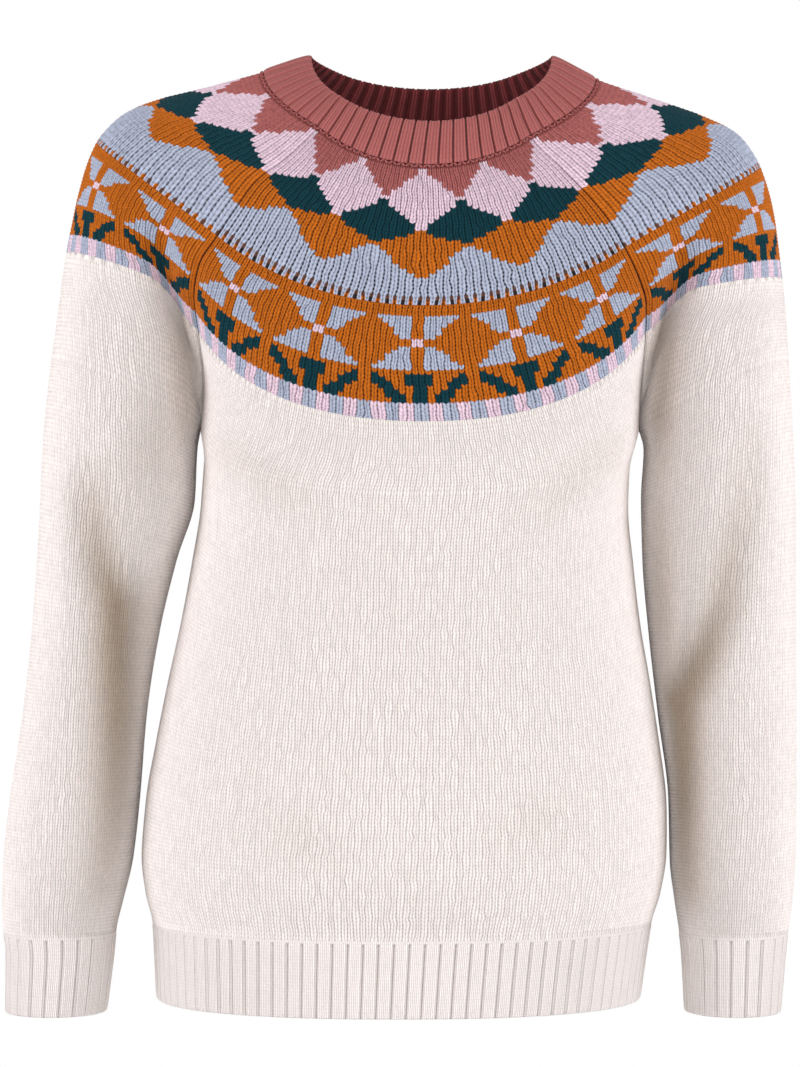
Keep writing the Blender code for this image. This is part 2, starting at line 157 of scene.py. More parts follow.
# %% Tables of the yoke, the body and the sleeves
UNDERARM_Z = -242.0
RIB_TOP_Z = -562.0
UNDERARM, RIB_TOP = 2.0, 3.0  # stations
SAMPLES = 161  # points on half a course
YOKE = {
    "station": (0, 0.145, 0.29, 0.45, 0.56, 0.64, 0.80, 0.90, 1, 1.5, 2),
    "centre_x": (1, -2, -4, -4.4, -4.4, -4.4, -4.4, -4.4, -4.2, -4.6, -6.8),
    "front_y": (-57, -74, -86, -97, -103, -107, -113, -116, -119, -120.5, -121),
    "front_z": (-49.8, -79.5, -103.9, -133, -154.6, -169.7, -201.6, -221.7, -241.8, -264, -286),
    "back_y": (70, 83, 93, 100, 103.5, 105.3, 107, 107.4, 107.5, 107, 106.5),
    "back_z": (-13, -43, -74, -109, -134, -151.7, -187.6, -210, -233, -259, -286),
    "left_x": (-57, -71.6, -91, -110.2, -122.3, -134.3, -146.6, -149.7, -147.7, -145.2, -148.5),
    "left_z": (-32, -53, -73.5, -89.3, -106.3, -124.3, -144.1, -161.8, -181.5, -211.9, -242),
    "right_x": (54, 63.2, 83, 101.5, 113.5, 121.5, 131.5, 136, 136.5, 135.3, 135),
    "right_z": (-33, -58.5, -80.6, -101, -117, -131.5, -152, -166, -182.8, -211.9, -242),
    "seam_front_y": (-38, -54.5, -65, -73.5, -78, -80, -73, -62, -49, -24, 0),
    "seam_back_y": (52, 65, 73, 79, 82, 83, 76, 66, 52, 26, 0),
    "seam_back_up": (26, 29, 27, 22, 19, 16, 12, 10, 7, 3, 0),
    "body_opens": (45, 45, 45, 45, 44, 43, 51, 60, 68, 81, 90),
    "squareness": (1, 1, 1, 1, 1, 0.98, 0.95, 0.92, 0.90, 0.88, 0.87),
    "out_left_x": (-77, -108, -143, -179.9, -199, -216.5, -227.8, -232, -236, -240.5, -245.4),
    "out_left_z": (0, -10.2, -19.9, -29.6, -38.3, -56.5, -89, -108.5, -129, -161, -197),
    "out_right_x": (79, 107.4, 145.6, 181, 200.5, 214.5, 223.4, 226, 228.5, 230.8, 232.6),
    "out_right_z": (0, -14.6, -27.8, -40.8, -51.8, -72.5, -105, -124.5, -145.6, -169, -197),
    "out_y": (8, 7, 5, 3, 2, 2, 2, 2, 2, 3, 3),
    "arm_opens": (45, 45, 45, 47, 54, 62, 90, 108, 125, 150, 180),
    "arm_front": (65, 86, 100, 104, 99, 93, 75, 67, 62, 59, 58),
    "arm_back": (63, 84, 97, 104, 102, 98, 84, 76, 71, 67, 65),
    "roof_front": (1, 0.8, 0.55, 0.35, 0.25, 0.2, 0.1, 0.05, 0, 0, 0),
    "roof_back": (0, 0.1, 0.2, 0.2, 0.18, 0.15, 0.1, 0.05, 0, 0, 0),
    "lag": (1, 1, 1, 1, 1.05, 1.1, 1.35, 1.3, 1.2, 1.3, 1.4),
    "fold_at": (45, 45, 45, 45, 45, 42, 26, 20, 18, 17, 16),
    "fold_deep": (0, 0, 0, 0, 0, 2, 9, 13, 15, 9, 0),
    "fold_drop": (0, 0, 0, 0, 0, 0, 3, 13, 21, 22, 0),
}
BODY = {
    "z": (
        -242, -255, -289, -328, -367, -406, -445, -484, -517, -543, -562, -582, -611.0
    ),
    "centre_x": (-6.8, -8.1, -10.1, -11.4, -12.7, -13.7, -14.6, -15.6, -16.9, -17.6, -18.2, -19.2, -20.6),
    "half": (141.7, 137.6, 138.1, 142.7, 148.5, 156, 162.8, 168.4, 169.7, 166.4, 161.2, 158.9, 156.2),
    "front_y": (
        -121, -121, -121, -120, -119, -119, -120, -122, -124, -121, -117, -115.5, -114.0
    ),
    "back_y": (106.5, 106, 105, 105, 106, 107, 109, 112, 116, 113, 109, 107.5, 106),
    "dip": (-44, -42, -37, -31, -25, -20, -14, -9, -4, -1, 0, 0, 0),
}
BODY_SQUARENESS = 0.87
ARM = {
    "station": (2, 2.043, 2.144, 2.264, 2.408, 2.571, 2.742, 2.862, 2.939, 3, 3.04, 3.16),
    "out_z": (
        -197, -212, -255, -308, -367, -426, -484, -523, -548, -568, -581, -620.0
    ),
    "in_z": (
        -242, -256, -289, -328, -375, -428, -484, -523, -548, -568, -581, -620.0
    ),
    "out_left_x": (
        -245.4, -247.4, -251.2, -253.6, -257.4, -263.3, -271.7, -275.6, -276.2, -275.4, -273.8, -274.2
    ),
    "in_left_x": (
        -149.4, -151.8, -153.4, -165.1, -176.2, -184.2, -188.6, -193, -199, -203.6, -204.9, -209.8
    ),
    "out_right_x": (232.6, 233.5, 235.8, 237.2, 237, 237, 236.6, 235.6, 233.6, 231, 229.6, 226.2),
    "in_right_x": (135.9, 139.6, 137.8, 138.6, 142.4, 148.2, 154.9, 155.6, 158.5, 161.5, 163, 165.1),
    "mid_y": (3, 3, 2, 1, -1, -4, -7, -9, -10, -10, -10, -10),
    "front": (58, 58, 57, 54, 51, 49.5, 49, 46, 42, 38, 36, 34),
    "back": (65, 64, 61, 56, 52, 49.5, 49, 46, 42, 38, 36, 34),
    "lag": (1.4, 1.35, 1.2, 1.1, 1, 1, 1, 1, 1, 1, 1, 1),
}
print("stations in the tables:", len(YOKE["station"]), "and", len(ARM["station"]))

# %% [markdown]
# A table row could be joined to the next by straight lines, but the cloth would then show a
# kink at each station. The course functions read the tables on smooth curves instead. The body
# is a squarish oval, and a sleeve is a rounder one that closes on itself below the underarm.

# %% Courses
def smooth(keys, values, at):
    """Reads a table's column on a smooth curve that never swings past its values."""
    keys = np.asarray(keys, float)
    values = np.asarray(values, float)
    steps = np.diff(keys)
    rises = np.diff(values) / steps
    slopes = np.concatenate([rises[:1], np.zeros(len(rises) - 1), rises[-1:]])
    steady = np.flatnonzero(rises[:-1] * rises[1:] > 0)
    before, after = steps[steady], steps[steady + 1]
    pull = (2.0 * after + before) / rises[steady] + (after + 2.0 * before) / rises[steady + 1]
    slopes[steady + 1] = 3.0 * (before + after) / pull
    at = min(max(at, keys[0]), keys[-1])
    cell = min(int(np.searchsorted(keys, at, side="right")) - 1, len(steps) - 1)
    width = steps[cell]
    f = (at - keys[cell]) / width
    rise = 3.0 * f**2 - 2.0 * f**3
    leave = slopes[cell] * width * (f**3 - 2.0 * f**2 + f)
    arrive = slopes[cell + 1] * width * (f**3 - f**2)
    return float(values[cell] + (values[cell + 1] - values[cell]) * rise + leave + arrive)


def read(table, key, at):
    """Every column of a table at one place."""
    sign = 1.0 if table[key][0] < table[key][-1] else -1.0
    keys = [sign * value for value in table[key]]
    return {name: smooth(keys, column, sign * at) for name, column in table.items()}


def fade(share):
    """0 up to 0, 1 from 1 on, smooth between."""
    share = np.clip(share, 0.0, 1.0)
    return share * share * (3.0 - 2.0 * share)


def run_along(points):
    """The length of a line of points, up to each of them."""
    steps = np.linalg.norm(np.diff(points, axis=0), axis=1)
    return np.concatenate([[0.0], np.cumsum(steps)])


def spaced(points, shares):
    """Points along a course at shares of its length."""
    run = run_along(points)
    wanted = np.asarray(shares) * run[-1]
    return np.stack([np.interp(wanted, run, points[:, k]) for k in range(3)], axis=1)


def body_course(station, rear):
    """One course of the front or the back, from the viewer's left to the right."""
    face = "back" if rear else "front"
    if station <= UNDERARM:
        r = read(YOKE, "station", station)
        left, right = r["left_x"], r["right_x"]
        up = r["seam_back_up"] if rear else 0.0
        left_z, right_z = r["left_z"] + up, r["right_z"] + up
        middle_z, side_y = r[face + "_z"], r[f"seam_{face}_y"]
        opens, square = math.radians(r["body_opens"]), r["squareness"]
    else:
        z = UNDERARM_Z + (station - UNDERARM) * (RIB_TOP_Z - UNDERARM_Z)
        r = read(BODY, "z", z)
        left, right = r["centre_x"] - r["half"], r["centre_x"] + r["half"]
        left_z = right_z = z
        middle_z, side_y = z + r["dip"], 0.0
        opens, square = math.pi / 2, BODY_SQUARENESS
    turn = np.linspace(-opens, opens, 2 * SAMPLES - 1)
    out = np.abs(np.sin(turn)) ** square / math.sin(opens) ** square
    closing = 1.0 - max(math.cos(opens), 0.0) ** square
    bow = (1.0 - np.clip(np.cos(turn), 0.0, 1.0) ** square) / closing
    to_left = turn < 0
    x = r["centre_x"] + (np.where(to_left, left, right) - r["centre_x"]) * out
    y = r[face + "_y"] + (side_y - r[face + "_y"]) * bow
    z = middle_z + (np.where(to_left, left_z, right_z) - middle_z) * bow
    return np.stack([x, y, z], axis=1)


def arm_course(station, side):
    """One course of a sleeve, from its front edge over the outer arm to its back edge."""
    joined = station < UNDERARM
    r = read(YOKE if joined else ARM, "station", station)
    if joined:
        last = -1 if side == "right" else 0
        ends = [body_course(station, False)[last], body_course(station, True)[last]]
        top = np.array([r[f"out_{side}_x"], r["out_y"], r[f"out_{side}_z"]])
        opens = math.radians(r["arm_opens"])
        depths, roofs = (r["arm_front"], r["arm_back"]), (r["roof_front"], r["roof_back"])
        fold_at, fold_deep, fold_drop = r["fold_at"], r["fold_deep"], r["fold_drop"]
    else:
        ends = [np.array([r[f"in_{side}_x"], r["mid_y"], r["in_z"]])] * 2
        top = np.array([r[f"out_{side}_x"], r["mid_y"], r["out_z"]])
        opens = math.pi
        depths, roofs = (r["front"], r["back"]), (0.0, 0.0)
        fold_at, fold_deep, fold_drop = 16.0, 0.0, 0.0  # no fold below the underarm
    turn = np.linspace(0.0, opens, SAMPLES)
    bow = (1.0 - np.cos(turn)) / (1.0 - math.cos(opens))
    halves = []
    for end, depth, roof, way in zip(ends, depths, roofs, (-1.0, 1.0)):
        lean = np.sin(turn) / math.sin(opens) if roof else 0.0
        rest = end[1] - top[1] - way * depth * math.sin(opens)
        course = np.empty((SAMPLES, 3))
        course[:, 0] = top[0] + (end[0] - top[0]) * bow
        course[:, 1] = top[1] + rest * bow + way * depth * np.sin(turn)
        fall = roof * lean + (1.0 - roof) * bow ** r["lag"]
        course[:, 2] = top[2] + (end[2] + fold_drop - top[2]) * fall
        halves.append(folded(course, way, fold_at, fold_deep, fold_drop))
    front, back = halves
    return np.concatenate([front[::-1], back[1:]])


def folded(course, way, fold_at, deep, drop):
    """The armpit fold: a trough beside the seam, with the cloth falling away inside it."""
    run = run_along(course)
    off = run[-1] - run
    wide = np.where(off < fold_at, 9.0, 15.0)
    trough = np.exp(-(((off - fold_at) / wide) ** 2)) * fade(off / 8.0)
    course[:, 1] -= way * deep * trough
    course[:, 2] -= drop * (1.0 - fade(off / (1.9 * fold_at)))
    return course


print("chest course:", round(run_along(body_course(1.0, False))[-1]), "mm long")


# %% [markdown]
# ## A fine surface for each panel
# A panel is measured once on a dense grid: 0 to 1 across each course, and station by station
# down. Every stitch is placed by reading this grid, a little above or below it along its normal.

# %% Measure the four panels
ACROSS = 361  # points across a course
DOWN_YOKE = np.concatenate([np.linspace(0.0, 1.0, 110), np.linspace(1.0, 2.0, 71)[1:]])
DOWN_BELOW = np.linspace(2.0, 3.16, 151)[1:]
PANELS = {
    # name: a course of it, and the sign that turns its normals outwards
    "front": (lambda station: body_course(station, False), -1.0),
    "back": (lambda station: body_course(station, True), 1.0),
    "sleeve_left": (lambda station: arm_course(station, "left"), 1.0),
    "sleeve_right": (lambda station: arm_course(station, "right"), -1.0),
}


def grid_normals(points, sign, ring_from):
    """Outward unit normals of a grid of points. Its rows are rings from row ring_from on."""
    along = np.gradient(points, axis=1)
    ring = points[ring_from:]
    along[ring_from:, 0] = along[ring_from:, -1] = (ring[:, 1] - ring[:, -2]) / 2.0
    down = np.gradient(points, axis=0)
    normals = sign * np.cross(along, down)
    return normals / np.maximum(np.linalg.norm(normals, axis=2, keepdims=True), 1e-9)


surfaces = {}
for name, (course, sign) in PANELS.items():
    stations = np.concatenate([DOWN_YOKE, DOWN_BELOW])
    shares = np.linspace(0.0, 1.0, ACROSS)
    courses = [course(station) for station in stations]
    points = np.array([spaced(line, shares) for line in courses])
    ring_from = int(np.searchsorted(stations, UNDERARM)) if "sleeve" in name else len(stations)
    surfaces[name] = {
        "stations": stations,
        "points": points,
        "normals": grid_normals(points, sign, ring_from),
        "lengths": np.array([run_along(line)[-1] for line in courses]),
        "sign": sign,
        "ring_from": ring_from,
    }
    print(name, "neck", round(surfaces[name]["lengths"][0]), "underarm",
          round(surfaces[name]["lengths"][len(DOWN_YOKE) - 1]), "mm round")

# %% [markdown]
# The yoke and the lower tubes come from separate tables, so the surface turns a little too
# sharply where they meet at the underarm. Averaging each point with the ones above and below it
# rounds this off, except at the underarm itself.

# %% Round off the change at the underarm
REACH = 0.14  # how far from the underarm it acts, in stations
SEAM_KEPT, SEAM_BLEND = 6.0, 24.0  # mm beside a seam that stay, and over which it starts
ROUNDS = 30

for name, surface in surfaces.items():
    points, lengths = surface["points"], surface["lengths"]
    shares = np.linspace(0.0, 1.0, ACROSS)
    edge = np.minimum(shares, 1.0 - shares) * lengths[:, None]
    near = fade(1.0 - np.abs(surface["stations"] - UNDERARM) / REACH)
    weight = near[:, None] * fade((edge - SEAM_KEPT) / SEAM_BLEND)
    for _ in range(ROUNDS):
        mean = points.copy()
        mean[1:-1] = (points[:-2] + 2.0 * points[1:-1] + points[2:]) / 4.0
        points = points + (mean - points) * weight[..., None]
    moved = np.linalg.norm(points - surface["points"], axis=2).max()
    surface["points"] = points
    surface["normals"] = grid_normals(points, surface["sign"], surface["ring_from"])
    print(name, "moved by up to", round(moved, 1), "mm")

# %% [markdown]
# ## Creases
# Worn knitwear is never quite smooth. A cloth simulation would find creases of its own, so
# these are placed where they are seen. Each row below is one soft trough (depth below
# zero) or ridge: the panel, whether it lies on the front (-1) or the back (1) half of the
# garment, its width, and the points that it runs through, each an X, a Z and a depth. The cloth
# is moved in Y only. The depth is also kept to paint shade into the dye of each trough, darker
# the deeper it is. The sides that the photograph doesn't show have similar creases.

# %% Press the creases in
CREASES = (
    ("sleeve_left", -1, 14, (
        (-214, -258, 0), (-216, -289, -6), (-210, -326, -10), (-202, -356, -14),
        (-202, -425, -11.5), (-203, -485, -8.5), (-211, -555, -3))),
    ("sleeve_left", -1, 18, ((-176, -330, 0), (-178, -365, -4), (-184, -430, -4),
                               (-192, -500, -1))),
    ("sleeve_left", -1, 9, ((-231, -262, 0), (-231, -360, 1.5), (-233, -520, 0.5))),
    ("sleeve_left", -1, 15, ((-172, -205, 0), (-182, -260, -2.5), (-190, -320, 0))),
    ("sleeve_left", -1, 11, ((-164, -118, 0), (-160, -150, -5), (-158, -190, -8),
                               (-154, -232, -7), (-154, -262, -2))),
    ("sleeve_left", 1, 15, ((-178, -262, 0), (-192, -340, -6), (-214, -430, -1))),
    ("sleeve_left", 1, 15, ((-238, -370, 0), (-232, -450, -4), (-232, -530, -1))),
    ("sleeve_left", 1, 13, ((-204, -410, 0), (-208, -480, -5), (-216, -550, -2))),
    ("sleeve_right", -1, 13, (
        (203, -225, 0), (199, -289, -3.5), (190, -326, -6), (186, -354, -8),
        (175, -387, -12), (162, -419, -14), (160, -485, -14), (162, -555, -8))),
    ("sleeve_right", -1, 10, ((147, -255, 0), (145, -300, -5), (146, -350, -7),
                                (149, -420, -5))),
    ("sleeve_right", -1, 12, ((224, -330, 0), (196, -400, 2), (182, -450, 0))),
    ("sleeve_right", -1, 10, ((160, -100, 0), (157, -140, -6), (150, -168, -9),
                                (149, -195, -10), (146, -235, -10), (146, -268, -3))),
    ("sleeve_right", 1, 15, ((170, -268, 0), (190, -345, -5.5), (216, -430, -1))),
    ("sleeve_right", 1, 15, ((224, -385, 0), (204, -450, -5), (182, -530, -1))),
    ("front", -1, 14, ((-128, -262, -2), (-94, -280, -2), (-56, -302, 0))),
    ("front", -1, 14, ((112, -262, -2), (82, -284, -2), (48, -308, 0))),
    ("front", -1, 17, ((-124, -478, 0), (-80, -500, -1.5), (-36, -522, 0))),
    ("front", -1, 17, ((96, -468, 0), (60, -492, -1.5), (26, -517, 0))),
    ("back", 1, 17, ((-124, -256, -1), (-80, -294, -3.5), (-36, -334, 0))),
    ("back", 1, 17, ((112, -256, -1), (72, -300, -3.5), (32, -344, 0))),
    ("back", 1, 20, ((-108, -416, 0), (-30, -440, -3), (46, -456, 0))),
    ("back", 1, 18, ((106, -476, 0), (40, -500, -2.5), (-26, -516, 0))),
)


# painted shade: a trough this deep gets the full painted shade in its dye
PAINTED_SHADE_DEPTH = 12.0  # a trough this deep, in mm, has the full shade


def crease_height(points, width, path):
    """How far one crease lifts each point, from how far away its path runs."""
    place = points[..., [0, 2]]
    nearest = np.full(place.shape[:-1], np.inf)
    depth = np.zeros(place.shape[:-1])
    for (x0, z0, depth0), (x1, z1, depth1) in zip(path, path[1:]):
        start, way = np.array([x0, z0]), np.array([x1 - x0, z1 - z0])
        along = np.clip((place - start) @ way / (way @ way), 0.0, 1.0)
        apart = np.linalg.norm(place - start - along[..., None] * way, axis=-1)
        nearer = apart < nearest
        nearest = np.where(nearer, apart, nearest)
        depth = np.where(nearer, depth0 + (depth1 - depth0) * along, depth)
    return depth * np.exp(-((nearest / width) ** 2))


for name, surface in surfaces.items():
    points, normals = surface["points"], surface["normals"]
    below_yoke = fade((surface["stations"] - 0.8) / 0.3)
    above_rib = fade((RIB_TOP + 0.02 - surface["stations"]) / 0.12)
    height = np.zeros(points.shape[:2])
    moved = points.copy()
    for panel, side, width, path in CREASES:
        if panel == name:
            on_side = fade(side * normals[..., 1] * 1.5 + 0.1) * (below_yoke * above_rib)[:, None]
            lift = on_side * crease_height(points, width, path)
            moved[..., 1] += side * lift
            height += lift
    surface["points"] = moved
    surface["normals"] = grid_normals(surface["points"], surface["sign"], surface["ring_from"])
    # painted shade for the dye, from the depth of each trough
    surface["crease_painted_shade"] = np.clip(-height / PAINTED_SHADE_DEPTH, 0.0, 1.2)
    print(name, "creased by", round(height.min(), 1), "to", round(height.max(), 1), "mm")


def read_grid(surface, key, stations, shares):
    """Values of one of a panel's grids at any stations and shares."""
    grid = surface[key]
    rows = np.interp(stations, surface["stations"], np.arange(len(surface["stations"])))
    columns = np.clip(shares, 0.0, 1.0) * (ACROSS - 1)
    i = np.minimum(rows.astype(int), len(surface["stations"]) - 2)
    j = np.minimum(columns.astype(int), ACROSS - 2)
    f, g = rows - i, columns - j
    if grid.ndim == 3:
        f, g = f[..., None], g[..., None]
    upper = grid[i, j] * (1.0 - g) + grid[i, j + 1] * g
    lower = grid[i + 1, j] * (1.0 - g) + grid[i + 1, j + 1] * g
    return upper * (1.0 - f) + lower * f


def look_up(surface, stations, shares):
    """Points, normals and course lengths of a panel at any stations and shares."""
    points = read_grid(surface, "points", stations, shares)
    normals = read_grid(surface, "normals", stations, shares)
    normals /= np.maximum(np.linalg.norm(normals, axis=-1, keepdims=True), 1e-9)
    return points, normals, np.interp(stations, surface["stations"], surface["lengths"])


# %% [markdown]
# ## The pattern, charted
# Yarns: cream, rose, pink, teal, orange and light blue. Near the neck the yoke is a ring of tall
# diamonds. Lower down comes a ring of four-petal flowers with leaves between them, and a
# two-by-two stripe closes the yoke. A painted texture would blur between the stitches, so every
# stitch takes its yarn from a chart, as it does for a knitter.
#
# The chart of the flower ring shows half of one repeat, from the flower's centre line outwards.
# The other half is its mirror image. A row of the chart is one knitted row.

# %% The yarns and the flower chart
YARNS_AND_PAINTED_SHADES = {
    # letter: the wool's own colour, linear RGB. K, N and S are painted shade: K and N the dark
    # seen through open stitches, and S the shade under the row that links the neckband on.
    "C": (0.825, 0.755, 0.703),
    "R": (0.370, 0.111, 0.101),
    "P": (0.70, 0.525, 0.600),
    "T": (0.003, 0.035, 0.045),
    "O": (0.465, 0.117, 0.008),
    "B": (0.38, 0.415, 0.510),
    "K": (0.026, 0.022, 0.022),
    "N": (0.130, 0.060, 0.040),
    "S": (0.230, 0.062, 0.055),
}
FLOWER_CHART = (
    "OOOOOOOO",
    "OOOOOOOO",
    "OOOOOOOO",
    "OBBBBBBO",
    "OBBBBBOO",
    "OBBBBOOO",
    "OBBBOOOO",
    "OBBBOOOO",
    "OBBOOOOO",
    "POOOOOOO",
    "POOOOOOO",
    "OBBOOOOO",
    "OBBBOOOO",
    "OBBBBOOO",
    "OBBBBOOO",
    "OBBBBBOO",
    "OBBBBBBO",
    "OOOOOOOO",
    "TTOOOOTO",
    "TTOOOTTO",
    "TTOOTTTO",
    "TOOOTTOO",
    "TOOTTOOO",
    "TOTTTOOO",
    "TOTTOOOO",
    "BPPBBPPB",
    "BPPBBPPB",
    "BPPBBPPB",
    "BPPBBPPB",
    "BPPBBPPB",
)
FLOWERS, DIAMONDS = 20, 16  # repeats round the whole yoke
REPEAT = 16  # stitches in one flower repeat
# Stations of the lines between the colours, on a diamond's centre line and half-way to the next.
ROSE_TO_PINK = (0.150, 0.285)
PINK_TO_TEAL = (0.395, 0.285)
TEAL_TO_ORANGE = (0.395, 0.450)
ORANGE_TO_BLUE = (0.560, 0.450)


def round_share(name, across):
    """Where a stitch lies on the round of the yoke. It is 0 at the front's or back's centre."""
    return (across - 0.5) * 0.25 if name in ("front", "back") else 0.125 + across * 0.25


def yarn_of_diamonds(turn, station):
    """The yarn letters of stitches in the upper yoke."""
    apart = np.abs(((turn * DIAMONDS + 0.5) % 1.0) - 0.5) * 2.0

    def line(ends):
        return ends[0] + (ends[1] - ends[0]) * apart

    yarn = np.full(turn.shape, "B")
    yarn[station < line(ORANGE_TO_BLUE)] = "O"
    yarn[station < line(TEAL_TO_ORANGE)] = "T"
    yarn[station < line(PINK_TO_TEAL)] = "P"
    yarn[station < line(ROSE_TO_PINK)] = "R"
    return yarn


def yarn_of_flowers(turn, row):
    """The yarn letters of stitches in the flower ring and the stripe."""
    chart = np.array([list(line) for line in FLOWER_CHART])
    stitch = np.floor((turn * FLOWERS % 1.0) * REPEAT).astype(int)
    half = np.minimum(stitch, REPEAT - 1 - stitch)
    return chart[np.clip(row, 0, len(chart) - 1), half]


print("yarns:", len(YARNS_AND_PAINTED_SHADES), "chart rows:", len(FLOWER_CHART))


# %% [markdown]
# ## Stitches
# A bump texture alone would leave the outline of the wool flat, so the stitches are modelled. A
# panel is knitted in belts. Each belt has its own number of wales (upright columns of stitches)
# and of rows. Every wale has four strips of faces: a groove on each side, and the two legs of
# the V between them. In the patterned belts the rows of points run in a zigzag, so each face is
# part of one leg of one stitch and takes the yarn of that stitch.

# %% Belts and the relief of a stitch
from collections import namedtuple

Belt = namedtuple("Belt", "kind first last wales knitted face_rows")
BELTS = {
    # kind, first station, last station, wales, knitted rows, rows of faces
    "body": (
        ("diamonds", 0.146, 0.64, 56, 38, 76),
        ("flowers", 0.64, 1.0, 80, 30, 60),
        ("plain", 1.0, 2.0, 120, 23, 25),
        ("plain", 2.0, 3.0, 120, 124, 84),
    ),
    "sleeve": (
        ("diamonds", 0.146, 0.64, 56, 38, 76),
        ("flowers", 0.64, 1.0, 80, 30, 60),
        ("plain", 1.0, 1.99, 96, 26, 26),
        ("plain", 2.0, 3.0, 96, 150, 108),
    ),
}
LEG_TILT = 0.5  # how many rows lower a stitch's point lies than the tops of its legs
GROOVE, LEG, MIDDLE = -0.80, 0.38, -0.22  # heights across a wale, mm
WOBBLE = 0.11  # how far the wales wander, in wales
FULL_RELIEF_WALES = 96.0  # a panel with more wales than this has finer, flatter ones
ROW_CROWN, ROW_CREASE = 0.12, -0.22  # heights along a wale in the patterned belts, mm
YOKE_UNEVEN, PLAIN_UNEVEN = 0.14, 0.05  # how much the dye differs from stitch to stitch
# painted shade: how much the dye is darkened in a deep crease
PAINTED_CREASE_SHADE = np.array((0.42, 0.47, 0.54))  # how much darker the wool looks in a deep crease
RIB_START = 0.45  # the height at which a panel ends and its rib begins, mm
WALL = 2.2  # how far the inside lies below the form, mm
SEAM_TUCK, SEAM_WIDTH = 0.6, 1.3  # how deep and how wide a seam pulls the edges in, mm
HOLE_ROWS = {
    # open stitches above the flower ring: two rows, in even and odd gaps. N and K are painted
    # shade seen through the holes.
    "body": (("N", "N"), ("K", "O")),
    "sleeve": (("B", "B"), ("N", "O")),
}
TOP_WALE = 0.44  # which wale of a sleeve, as a share, runs down its outer line
CUFF_CROWDING = 0.5  # how much a sleeve's wales crowd towards its inner seam at the cuff
# Painted shade in the gaps between the wales: how dark it makes them in each yarn.
GAP_SHADE_BY_YARN = {"C": 0.14, "R": 0.30, "P": 0.50, "T": 0.35, "O": 0.78, "B": 0.60, "K": 0, "N": 0, "S": 0}

BELTS = {part: [Belt(*row) for row in rows] for part, rows in BELTS.items()}


def is_sleeve(name):
    return "sleeve" in name


for name, surface in surfaces.items():
    middle = []
    for station in surface["stations"]:
        run = run_along(PANELS[name][0](station))
        middle.append(run[SAMPLES - 1] / run[-1])
    surface["middle"] = np.array(middle)


def share_of(name, stations, across):
    """Where a wale lies along its course. Sleeves have their wales spread by given amounts."""
    if not is_sleeve(name):
        return across
    surface = surfaces[name]
    middle = np.interp(stations, surface["stations"], surface["middle"])
    bend = (middle - TOP_WALE) / (TOP_WALE * (1.0 - TOP_WALE)) * fade(UNDERARM - stations)
    crowd = CUFF_CROWDING * np.clip(stations - UNDERARM, 0.0, 1.0)
    return across + bend * across * (1.0 - across) - crowd * np.sin(2 * np.pi * across) / (2 * np.pi)


def panel_points(name, stations, across, lift):
    """Points of a panel, lifted off its form by so many mm, with the seams tucked in."""
    shares = share_of(name, stations, across)
    closed = is_sleeve(name) and stations.flat[0] >= UNDERARM
    points, normals, lengths = look_up(surfaces[name], stations, shares)
    if not closed:
        inset = 0.06 / lengths
        shares = inset + shares * (1.0 - 2.0 * inset)
        points, normals, lengths = look_up(surfaces[name], stations, shares)
    edge = np.minimum(shares, 1.0 - shares) * lengths
    tuck = SEAM_TUCK * np.exp(-((edge / SEAM_WIDTH) ** 2)) * (1.0 - 0.7 * fade((stations - 0.8) / 0.3))
    return points + normals * (lift - tuck)[:, None]


def wander(belt, label, across):
    """How far the wales stray sideways here: loose knitting is never quite even."""
    wales = belt.wales
    seed = np.random.default_rng(int(1000 * belt.first) + wales)
    offsets = seed.normal(0.0, WOBBLE / wales, (belt.knitted // 2 + 3, wales + 1))
    offsets[:, [0, 1, -2, -1]] = 0.0
    row = int(label / 2.0)
    part = fade(label / 2.0 - row)
    mixed = offsets[row] * (1.0 - part) + offsets[row + 1] * part
    calm = np.clip(8.0 * np.minimum(across, 1.0 - across), 0.0, 1.0)  # less near the seams
    return np.interp(across * wales, np.arange(wales + 1), mixed) * calm


def row_of_points(name, belt, label, columns, inside=False):
    """One line of points across a panel. The label counts knitted rows from the belt's top."""
    kind, first, last, wales, knitted, _ = belt
    across = np.linspace(0.0, 1.0, columns + 1)
    side = np.abs((across * wales) % 1.0 - 0.5) * 2.0
    tilt = 0.0
    if kind != "plain" and not inside:
        tilt = LEG_TILT * min(label, knitted - label, 0.75) / 0.75
    stations = first + (last - first) * (label - tilt * (side - 0.5)) / knitted
    stations = np.clip(stations, first, last)
    if inside:
        lift = np.full(columns + 1, -WALL)
    else:
        lift = np.where(side > 0.75, GROOVE, np.where(side > 0.25, LEG, MIDDLE))
        lift = lift * min(1.0, FULL_RELIEF_WALES / wales)
        if kind != "plain":
            lift = lift + (ROW_CROWN if label % 1.0 == 0.5 else ROW_CREASE)
        if last == RIB_TOP and label == knitted:
            lift[:] = RIB_START
    return {
        "across": across,
        "station": stations,
        "label": label,
        "belt": belt,
        "points": panel_points(name, stations, across + wander(belt, label, across), lift),
        "ring": is_sleeve(name) and first >= UNDERARM,
    }


print("relief of a stitch:", GROOVE, "to", LEG + ROW_CROWN, "mm")

# %% Join rows of points into faces
def indexed(rows, start):
    """Numbers the points of all the rows, with the last point of a ring shared with its first."""
    points = []
    for row in rows:
        own = row["points"][:-1] if row["ring"] else row["points"]
        row["index"] = start + np.arange(len(own))
        if row["ring"]:
            row["index"] = np.append(row["index"], row["index"][0])
        start += len(own)
        points.append(own)
    return points, start


